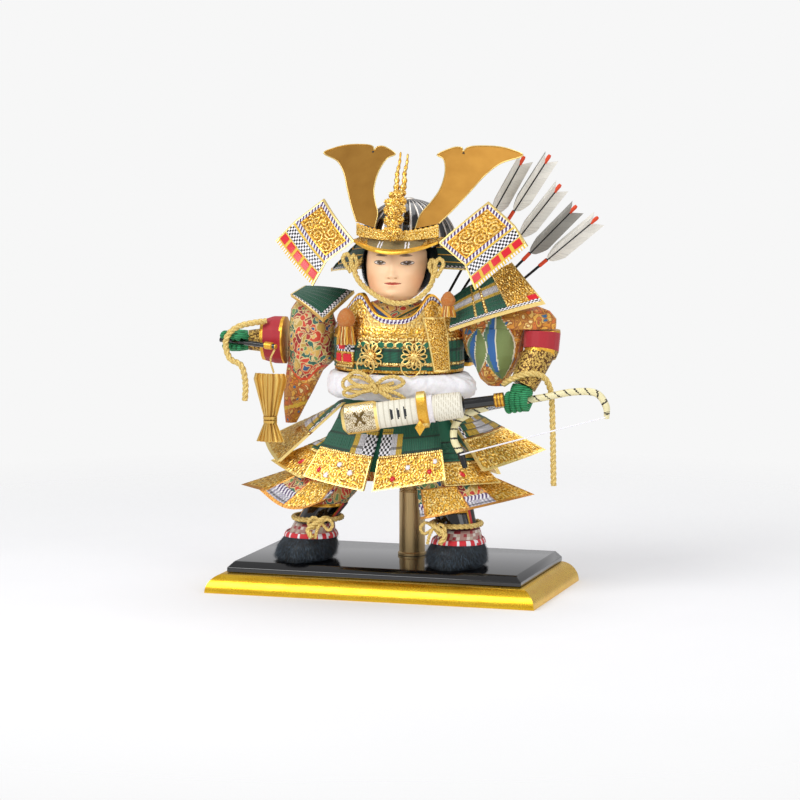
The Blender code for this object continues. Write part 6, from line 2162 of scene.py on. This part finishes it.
def dress_sword():
    hilt = (
        (0.000, 0.0050, 0.0090),
        (0.004, 0.0075, 0.0135),
        (0.030, 0.0078, 0.0138),
        (0.033, 0.0060, 0.0118),
        (0.067, 0.0060, 0.0116),
        (0.069, 0.0085, 0.0165),
        (0.076, 0.0085, 0.0165),
        (0.078, 0.0060, 0.0120),
        (0.082, 0.0065, 0.0125),
    )
    sheath = (
        (0.0824, 0.0085, 0.0110),
        (0.086, 0.0095, 0.0122),
        (0.107, 0.0090, 0.0115),
        (0.110, 0.0040, 0.0050),
        (0.136, 0.0040, 0.0048),
        (0.1365, 0.0055, 0.0062),
        (0.1450, 0.0055, 0.0062),
    )
    along = (SWORD_END - SWORD_START).normalized()
    up = (Vector((0, 0, 1)) - along * along.z).normalized()

    def marks(face):
        offset = face.calc_center_median() - SWORD_START
        return offset.dot(along), offset.dot(up)

    def hilt_look(face):
        reach, rise = marks(face)
        if reach < 0.0325:
            if reach > 0.0300 or reach < 0.0030 or abs(rise) > 0.0118:
                return hue.pale_gold_and_highlight, 0
            # The pierced cross is painted dark, as painted shade in its openings.
            near = abs(abs(reach - 0.0165) - abs(rise) * 0.8)
            if near < 0.0016 and math.hypot(reach - 0.0165, rise) < 0.0075:
                return hue.dark, 0
            # The scrollwork is only painted: darker in its hollows as painted shade, paler on its ridges as painted
            # highlight.
            h = scrolls(reach, rise + 0.02, 0.0048)
            return (blend(linear("#7A6430"), linear("#F1EBD6"), smooth(1.3 * h)), 0)
        if reach < 0.068:
            for centre in (0.0450, 0.0510, 0.0570):
                if abs(reach - centre) < 0.0010 * (1 - (rise / 0.0056) ** 2) + 0.0002 and abs(rise) < 0.0056:
                    return linear("#20242A"), 1
            thread = (reach / 0.0016) % 1.0 < 0.25
            return (linear("#D9D2BC") if thread else linear("#F3EEDC")), 1
        if reach < 0.0775:
            return (hue.gold if abs(rise) < 0.012 else hue.pale_gold_and_highlight), 0
        return hue.white, 1

    bm = skin(limb_rings(sword_stations(hilt), 88, (0, 0, 1), 28))
    paint(bm, hilt_look)
    finish("sword_grip", bm, ("stamped_gilt", "silk_braid"), ("sword_hilt",), 45)

    def sheath_look(face):
        reach, rise = marks(face)
        if reach < 0.1085:
            return linear("#F3EEDC") if ((reach - rise * 0.1) / 0.0021) % 1.0 < 0.78 else linear("#CFC6AE"), 2
        if reach > 0.1362:
            # Rings of painted shade alternate with gold along the chape.
            return (hue.gold if (reach / 0.0028) % 1.0 < 0.5 else hue.shaded_gold), 1
        return hue.black, 0

    bm = skin(limb_rings(sword_stations(sheath), 64, (0, 0, 1), 34))
    paint(bm, sheath_look)
    finish("sword_sheath", bm, (*LACQUERED, "silk_braid"), ("scabbard",), 45)
    middle = SWORD_START + along * 0.0725 + Vector((0.0, -0.0092, -0.0150))
    profile = [(0.0, -0.0007), (0.0045, -0.0007), (0.0058, 0.0), (0.0045, 0.0007), (0.0, 0.0014)]
    plate = turned(profile, 4)
    paint(plate, lambda face: (hue.red if face.calc_center_median().length < 0.0022 else hue.gold, 0))
    reshape(plate, lambda p: middle + Vector((p.x * 0.8, -p.z, p.y * 1.25)))
    finish("guard_pendant", plate, "stamped_gilt", (), 30)


def dress_baton():
    start, end = (Vector(p) for p in BATON_ENDS)
    marks = ((0.0, 1.0), (0.80, 1.0), (0.81, 1.5), (0.93, 1.5), (0.94, 1.0), (1.0, 0.9))
    stations = [(start.lerp(end, t), BATON_RADIUS * r, BATON_RADIUS * r) for t, r in marks]
    bm = skin(limb_rings(stations, 28, (0, 0, 1), 4))
    along = (end - start).normalized()
    length = (end - start).length

    def look(face):
        share = (face.calc_center_median() - start).dot(along) / length
        return (hue.gold, 1) if 0.80 < share < 0.945 or share > 0.985 else (hue.black, 0)

    paint(bm, look)
    finish("war_baton", bm, LACQUERED, ("baton_stick",), 45)
    hang = start.lerp(end, 0.975)
    top = hang.z - BATON_RADIUS - SEAT
    loop = ((hang.x, hang.y, top), (hang.x - 0.0035, hang.y - 0.0015, 0.208), (hang.x - 0.001, hang.y, 0.196))
    rope_piece("baton_loop", rope(loop, 0.0010))
    parts = []
    strips = 13
    for number in range(strips):
        share = number / (strips - 1) - 0.5
        turn = math.radians(25 + 45 * abs(share)) * (1 if number % 2 else -1)
        levels = ((0.1955, 0.0265, 0.0024), (0.1900, 0.0295, 0.0028), (0.1570, 0.0120, 0.0014),
                  (0.1500, 0.0115, 0.0014), (0.1335, 0.0250, 0.0024))
        rings = []
        for z, wide, strip in levels:
            x = hang.x - 0.0045 + wide * share
            y = hang.y - 0.0035 * math.cos(math.pi * share) + 0.0012 * (number % 2)
            side = Vector((math.cos(turn), math.sin(turn), 0)) * strip * 0.75
            thin = Vector((-math.sin(turn), math.cos(turn), 0)) * 0.00025
            centre = Vector((x, y, z))
            rings.append([centre - side - thin, centre + side - thin, centre + side + thin, centre - side + thin])
        parts.append(skin(rings))
    for z, wide in ((0.1555, 0.0063), (0.1520, 0.0061)):
        band = turned([(0.9, -0.0012), (1.0, -0.0012), (1.0, 0.0012), (0.9, 0.0012)], 32)
        middle = Vector((hang.x - 0.0045, hang.y - 0.001, z))
        parts.append(reshape(band, lambda p: middle + Vector((p.x * wide, p.y * 0.0052, p.z))))
    bm = join(parts)
    # Strip faces turned to the front get pale gold as a painted highlight.
    paint(bm, lambda face: (hue.pale_gold_and_highlight if face.normal.y < -0.4 else hue.gold, 0))
    finish("baton_strips", bm, "gold_foil", ("baton_streamers",), 30)


# ---------------------------------------------------------------- stage


def dress_stage():
    scene = bpy.context.scene
    scene.view_settings.view_transform = "Standard"
    camera_data = bpy.data.cameras.new("camera")
    camera_data.sensor_width = 36.0
    camera_data.lens = CAMERA_LENS
    camera_data.clip_end = 100.0
    camera = bpy.data.objects.new("camera", camera_data)
    camera.location = PHOTO_TARGET + TOWARDS_CAMERA * CAMERA_DISTANCE
    camera.rotation_euler = TOWARDS_CAMERA.to_track_quat("Z", "Y").to_euler()
    scene.collection.objects.link(camera)
    scene.camera = camera
    for name, place, size, power in (
        ("key_light", (-0.9, -1.5, 1.5), 1.2, fine.key_power),
        ("fill_light", (1.6, -1.1, 0.9), 1.4, fine.fill_power),
        ("top_light", (0.2, 0.6, 1.9), 1.3, fine.top_power),
    ):
        data = bpy.data.lights.new(name, "AREA")
        data.size = size
        data.energy = power
        lamp = bpy.data.objects.new(name, data)
        lamp.location = place
        lamp.rotation_euler = (Vector(place) - Vector((0, 0, 0.18))).to_track_quat("Z", "Y").to_euler()
        scene.collection.objects.link(lamp)
    world = bpy.data.worlds.new("studio")
    world.use_nodes = True
    back = world.node_tree.nodes["Background"]
    back.inputs[1].default_value = WORLD_LIGHT
    seen = node(world, "ShaderNodeLightPath").outputs["Is Camera Ray"]
    link(world, mixed(world, seen, linear("#E8E8EA"), [1.5, 1.5, 1.5, 1.0]), back, 0)
    scene.world = world
    bm = bmesh.new()
    bmesh.ops.create_grid(bm, x_segments=1, y_segments=1, size=FLOOR_SIZE)
    mesh = bpy.data.meshes.new("floor")
    bm.to_mesh(mesh)
    bm.free()
    mesh.materials.append(bpy.data.materials["backdrop_paper"])
    floor = bpy.data.objects.new("floor", mesh)
    scene.collection.objects.link(floor)


# ---------------------------------------------------------------- settings


def colour_property(name, description, hex_colour):
    return bpy.props.FloatVectorProperty(name=name, description=description, default=linear(hex_colour),
                                         subtype="COLOR", size=4, min=0.0, max=1.0)


class DollColours(bpy.types.PropertyGroup):
    """Colours of the doll's trims, laces and gilt work"""
    gold: colour_property("Gold", "Raised gilt work", "#EBB034")
    # Pale gold is the colour of rims and beads, and also a painted highlight on the highest ridges and on faces
    # turned to the front.
    pale_gold_and_highlight: colour_property("Pale gold", "Rims, beads and the highest ridges", "#FFE493")
    # Dark gold is painted shade: in the hollows of the gilt work, between beads, on faces turned down and in the
    # rings of the chape.
    shaded_gold: colour_property("Dark gold", "Hollows of the gilt work", "#82480F")
    copper: colour_property("Copper", "Rims of the thigh guards", "#C27F3A")
    green: colour_property("Green", "Lacing of the armour", "#0B6A4C")
    olive: colour_property("Olive", "Leaves on the left sleeve", "#7A8A4C")
    blue: colour_property("Blue", "Blades on the leaves and the robe's collar", "#2B66A8")
    yellow: colour_property("Yellow", "Yellow lacing and strips", "#EBC23C")
    white: colour_property("White", "White lacing, checks and stones", "#F4F1F5")
    # Lavender is painted shade in the stripes between white laces.
    lace_gap_shade: colour_property("Lavender", "Shade between white laces", "#C9C0D8")
    purple: colour_property("Purple", "Ground of the dotted braid", "#4B2468")
    red: colour_property("Red", "Squares, stones and shoe bands", "#D81A2A")
    crimson: colour_property("Crimson", "Cuffs", "#B30F24")
    orange: colour_property("Orange", "Arrow bindings and sleeve edges", "#E0481E")
    amber: colour_property("Amber", "Heads of the chin tassels", "#C26A12")
    black: colour_property("Black", "Checks, shafts and hair", "#0B0B0D")
    dark: colour_property("Dark", "Backs of the legs and pierced work", "#1B1A1A")
    silver: colour_property("Silver", "Ridges of the bowl and the bow's grip", "#C6C9CE")


class DollSizes(bpy.types.PropertyGroup):
    """Sizes and counts of the fine work, and the strength of the lamps"""
    gilt_relief: bpy.props.FloatProperty(name="Gilt relief", description="Height of the scrollwork on the aprons",
                                         default=0.0013, min=0.0, max=0.002, unit="LENGTH", precision=5)
    check_cell: bpy.props.FloatProperty(name="Check", description="Side of one square of the checked edging",
                                        default=0.0021, min=0.001, max=0.004, unit="LENGTH", precision=5)
    rope_turn: bpy.props.FloatProperty(name="Rope turn", description="Length of one turn, in radii of the rope",
                                       default=5.5, min=3.0, max=12.0)
    fur_length: bpy.props.FloatProperty(name="Fur length", description="Longest strand of the shoes' fur",
                                        default=0.0056, min=0.001, max=0.01, unit="LENGTH", precision=5)
    fur_strands: bpy.props.IntProperty(name="Fur strands", description="Strands of fur on each shoe",
                                       default=7800, min=0, max=20000)
    lock_strands: bpy.props.IntProperty(name="Hair strands", description="Strands in each side lock",
                                        default=900, min=0, max=4000)
    tassel_cords: bpy.props.IntProperty(name="Tassel cords", description="Cords in the skirt of each chin tassel",
                                        default=64, min=8, max=200)
    key_power: bpy.props.FloatProperty(name="Key lamp", description="Power of the lamp at the front left",
                                       default=26.0, min=0.0, unit="POWER")
    fill_power: bpy.props.FloatProperty(name="Fill lamp", description="Power of the lamp at the right",
                                        default=11.0, min=0.0, unit="POWER")
    top_power: bpy.props.FloatProperty(name="Top lamp", description="Power of the lamp above",
                                       default=12.0, min=0.0, unit="POWER")


def ready(context):
    """Reads the settings and makes the materials the first time."""
    for target, group in ((hue, context.scene.doll_colours), (fine, context.scene.doll_sizes)):
        for key in type(group).__annotations__:
            value = getattr(group, key)
            setattr(target, key, value if isinstance(value, (int, float)) else list(value))
    if "stamped_gilt" not in bpy.data.materials:
        make_materials()


# ---------------------------------------------------------------- operators


class DOLL_OT_stage(bpy.types.Operator):
    """Sets the camera, the lamps, the pale surroundings and the floor"""
    bl_idname = "doll.stage"
    bl_label = "Stage"

    def execute(self, context):
        ready(context)
        dress_stage()
        return {"FINISHED"}


class DOLL_OT_wrist_cords(bpy.types.Operator):
    """Twists the two free cords that hang from the cuffs"""
    bl_idname = "doll.wrist_cords"
    bl_label = "Wrist cords"

    def execute(self, context):
        ready(context)
        dress_wrist_cords()
        return {"FINISHED"}


class DOLL_OT_stand(bpy.types.Operator):
    """Makes the two lacquered boards and the bronze post"""
    bl_idname = "doll.stand"
    bl_label = "Stand"

    def execute(self, context):
        ready(context)
        dress_stand()
        return {"FINISHED"}


class DOLL_OT_shoes(bpy.types.Operator):
    """Makes the fur shoes with their dashed bands"""
    bl_idname = "doll.shoes"
    bl_label = "Shoes"

    def execute(self, context):
        ready(context)
        dress_shoe("right")
        dress_shoe("left")
        return {"FINISHED"}


class DOLL_OT_legs(bpy.types.Operator):
    """Makes the shins, their plates and the ankle ropes"""
    bl_idname = "doll.legs"
    bl_label = "Legs"

    def execute(self, context):
        ready(context)
        dress_leg("right")
        dress_leg("left")
        return {"FINISHED"}


class DOLL_OT_skirt(bpy.types.Operator):
    """Makes the laced aprons with their gilt feet, and the lining under them"""
    bl_idname = "doll.skirt"
    bl_label = "Skirt of armour"

    def execute(self, context):
        ready(context)
        dress_skirt()
        return {"FINISHED"}


class DOLL_OT_thigh_guards(bpy.types.Operator):
    """Makes the brocade guards with their gilt plates"""
    bl_idname = "doll.thigh_guards"
    bl_label = "Thigh guards"

    def execute(self, context):
        ready(context)
        dress_thigh_guards()
        return {"FINISHED"}


class DOLL_OT_body(bpy.types.Operator):
    """Makes the under robe and the laced and gilt cuirass round it"""
    bl_idname = "doll.body"
    bl_label = "Robe and breastplate"

    def execute(self, context):
        ready(context)
        dress_body()
        return {"FINISHED"}


class DOLL_OT_chest_plates(bpy.types.Operator):
    """Makes the plate at each side of the chest"""
    bl_idname = "doll.chest_plates"
    bl_label = "Chest plates"

    def execute(self, context):
        ready(context)
        chest_plate("left", ((43, 33), (61, 57)), 0.2015, 0.250)
        chest_plate("right", ((-31, -31), (-55, -55)), 0.2035, 0.232)
        return {"FINISHED"}


class DOLL_OT_flower_bosses(bpy.types.Operator):
    """Makes the two wire flowers with their rings"""
    bl_idname = "doll.flower_bosses"
    bl_label = "Flower bosses"

    def execute(self, context):
        ready(context)
        rosette("right", math.radians(-12.5))
        rosette("left", math.radians(25))
        return {"FINISHED"}


class DOLL_OT_collar(bpy.types.Operator):
    """Makes the crossed collar strips at the throat"""
    bl_idname = "doll.collar"
    bl_label = "Collar"

    def execute(self, context):
        ready(context)
        dress_collar()
        return {"FINISHED"}


class DOLL_OT_sash(bpy.types.Operator):
    """Makes the padded white sash and the cord tied over it"""
    bl_idname = "doll.sash"
    bl_label = "Sash"

    def execute(self, context):
        ready(context)
        dress_sash()
        return {"FINISHED"}


class DOLL_OT_sleeves(bpy.types.Operator):
    """Makes the hanging brocade sleeves"""
    bl_idname = "doll.sleeves"
    bl_label = "Sleeves"

    def execute(self, context):
        ready(context)
        dress_sleeves()
        return {"FINISHED"}


class DOLL_OT_arm_guards(bpy.types.Operator):
    """Makes the red cuffs over gold mail"""
    bl_idname = "doll.arm_guards"
    bl_label = "Arm guards"

    def execute(self, context):
        ready(context)
        dress_arms()
        return {"FINISHED"}


class DOLL_OT_hands(bpy.types.Operator):
    """Makes the green knitted fists"""
    bl_idname = "doll.hands"
    bl_label = "Hands"

    def execute(self, context):
        ready(context)
        dress_hands()
        return {"FINISHED"}


class DOLL_OT_shoulder_guards(bpy.types.Operator):
    """Makes the laced guard on each shoulder"""
    bl_idname = "doll.shoulder_guards"
    bl_label = "Shoulder guards"

    def execute(self, context):
        ready(context)
        dress_shoulders()
        return {"FINISHED"}


class DOLL_OT_face(bpy.types.Operator):
    """Makes the painted face"""
    bl_idname = "doll.face"
    bl_label = "Face"

    def execute(self, context):
        ready(context)
        dress_head()
        return {"FINISHED"}


class DOLL_OT_hair(bpy.types.Operator):
    """Makes the side locks"""
    bl_idname = "doll.hair"
    bl_label = "Hair"

    def execute(self, context):
        ready(context)
        dress_hair()
        return {"FINISHED"}


class DOLL_OT_bowl(bpy.types.Operator):
    """Makes the ribbed bowl and its crown ring"""
    bl_idname = "doll.bowl"
    bl_label = "Helmet bowl"

    def execute(self, context):
        ready(context)
        dress_bowl()
        return {"FINISHED"}


class DOLL_OT_visor(bpy.types.Operator):
    """Makes the peak and the brow band that carries the horns"""
    bl_idname = "doll.visor"
    bl_label = "Visor"

    def execute(self, context):
        ready(context)
        dress_visor()
        return {"FINISHED"}


class DOLL_OT_horns(bpy.types.Operator):
    """Makes the two flat horns with their rims"""
    bl_idname = "doll.horns"
    bl_label = "Horns"

    def execute(self, context):
        ready(context)
        dress_horns()
        return {"FINISHED"}


class DOLL_OT_crest(bpy.types.Operator):
    """Makes the gilt crest between the horns"""
    bl_idname = "doll.crest"
    bl_label = "Crest"

    def execute(self, context):
        ready(context)
        dress_crest()
        return {"FINISHED"}


class DOLL_OT_wings(bpy.types.Operator):
    """Makes the turned-back plate at each side of the helmet"""
    bl_idname = "doll.wings"
    bl_label = "Helmet wings"

    def execute(self, context):
        ready(context)
        dress_wings()
        return {"FINISHED"}


class DOLL_OT_neck_guard(bpy.types.Operator):
    """Makes the laced lames behind the head"""
    bl_idname = "doll.neck_guard"
    bl_label = "Neck guard"

    def execute(self, context):
        ready(context)
        dress_neck_guard()
        return {"FINISHED"}


class DOLL_OT_chin(bpy.types.Operator):
    """Makes the chin cord, its bows and tassels"""
    bl_idname = "doll.chin"
    bl_label = "Chin cord"

    def execute(self, context):
        ready(context)
        dress_chin()
        return {"FINISHED"}


class DOLL_OT_arrows(bpy.types.Operator):
    """Makes the quiver and the five arrows in it"""
    bl_idname = "doll.arrows"
    bl_label = "Quiver and arrows"

    def execute(self, context):
        ready(context)
        dress_arrows()
        return {"FINISHED"}


class DOLL_OT_bow(bpy.types.Operator):
    """Binds the bow in cane and gives its string a thread"""
    bl_idname = "doll.bow"
    bl_label = "Bow"

    def execute(self, context):
        ready(context)
        dress_bow()
        return {"FINISHED"}


class DOLL_OT_sword(bpy.types.Operator):
    """Makes the sword's hilt, scabbard and guard pendant"""
    bl_idname = "doll.sword"
    bl_label = "Sword"

    def execute(self, context):
        ready(context)
        dress_sword()
        return {"FINISHED"}


class DOLL_OT_baton(bpy.types.Operator):
    """Makes the baton, its loop and its folded gold streamers"""
    bl_idname = "doll.baton"
    bl_label = "Baton"

    def execute(self, context):
        ready(context)
        dress_baton()
        return {"FINISHED"}


class DOLL_PT_steps(bpy.types.Panel):
    """Lists the steps that dress the doll and its settings"""
    bl_idname = "DOLL_PT_steps"
    bl_label = "Samurai Doll"
    bl_space_type = "VIEW_3D"
    bl_region_type = "UI"
    bl_category = "Samurai Doll"

    def draw(self, context):
        for step in STEPS:
            self.layout.operator(step.bl_idname)
        for group in (context.scene.doll_colours, context.scene.doll_sizes):
            box = self.layout.box()
            for key in type(group).__annotations__:
                box.prop(group, key)


STEPS = (
    DOLL_OT_stage,
    DOLL_OT_wrist_cords,
    DOLL_OT_stand,
    DOLL_OT_shoes,
    DOLL_OT_legs,
    DOLL_OT_skirt,
    DOLL_OT_thigh_guards,
    DOLL_OT_body,
    DOLL_OT_chest_plates,
    DOLL_OT_flower_bosses,
    DOLL_OT_collar,
    DOLL_OT_sash,
    DOLL_OT_sleeves,
    DOLL_OT_arm_guards,
    DOLL_OT_hands,
    DOLL_OT_shoulder_guards,
    DOLL_OT_face,
    DOLL_OT_hair,
    DOLL_OT_bowl,
    DOLL_OT_visor,
    DOLL_OT_horns,
    DOLL_OT_crest,
    DOLL_OT_wings,
    DOLL_OT_neck_guard,
    DOLL_OT_chin,
    DOLL_OT_arrows,
    DOLL_OT_bow,
    DOLL_OT_sword,
    DOLL_OT_baton,
)
CLASSES = (DollColours, DollSizes, *STEPS, DOLL_PT_steps)


def register():
    for one in CLASSES:
        bpy.utils.register_class(one)
    bpy.types.Scene.doll_colours = bpy.props.PointerProperty(type=DollColours)
    bpy.types.Scene.doll_sizes = bpy.props.PointerProperty(type=DollSizes)


def unregister():
    del bpy.types.Scene.doll_sizes
    del bpy.types.Scene.doll_colours
    for one in reversed(CLASSES):
        bpy.utils.unregister_class(one)


def main():
    register()
    for step in STEPS:
        getattr(bpy.ops.doll, step.bl_idname.split(".")[1])()


if __name__ == "__main__":
    main()
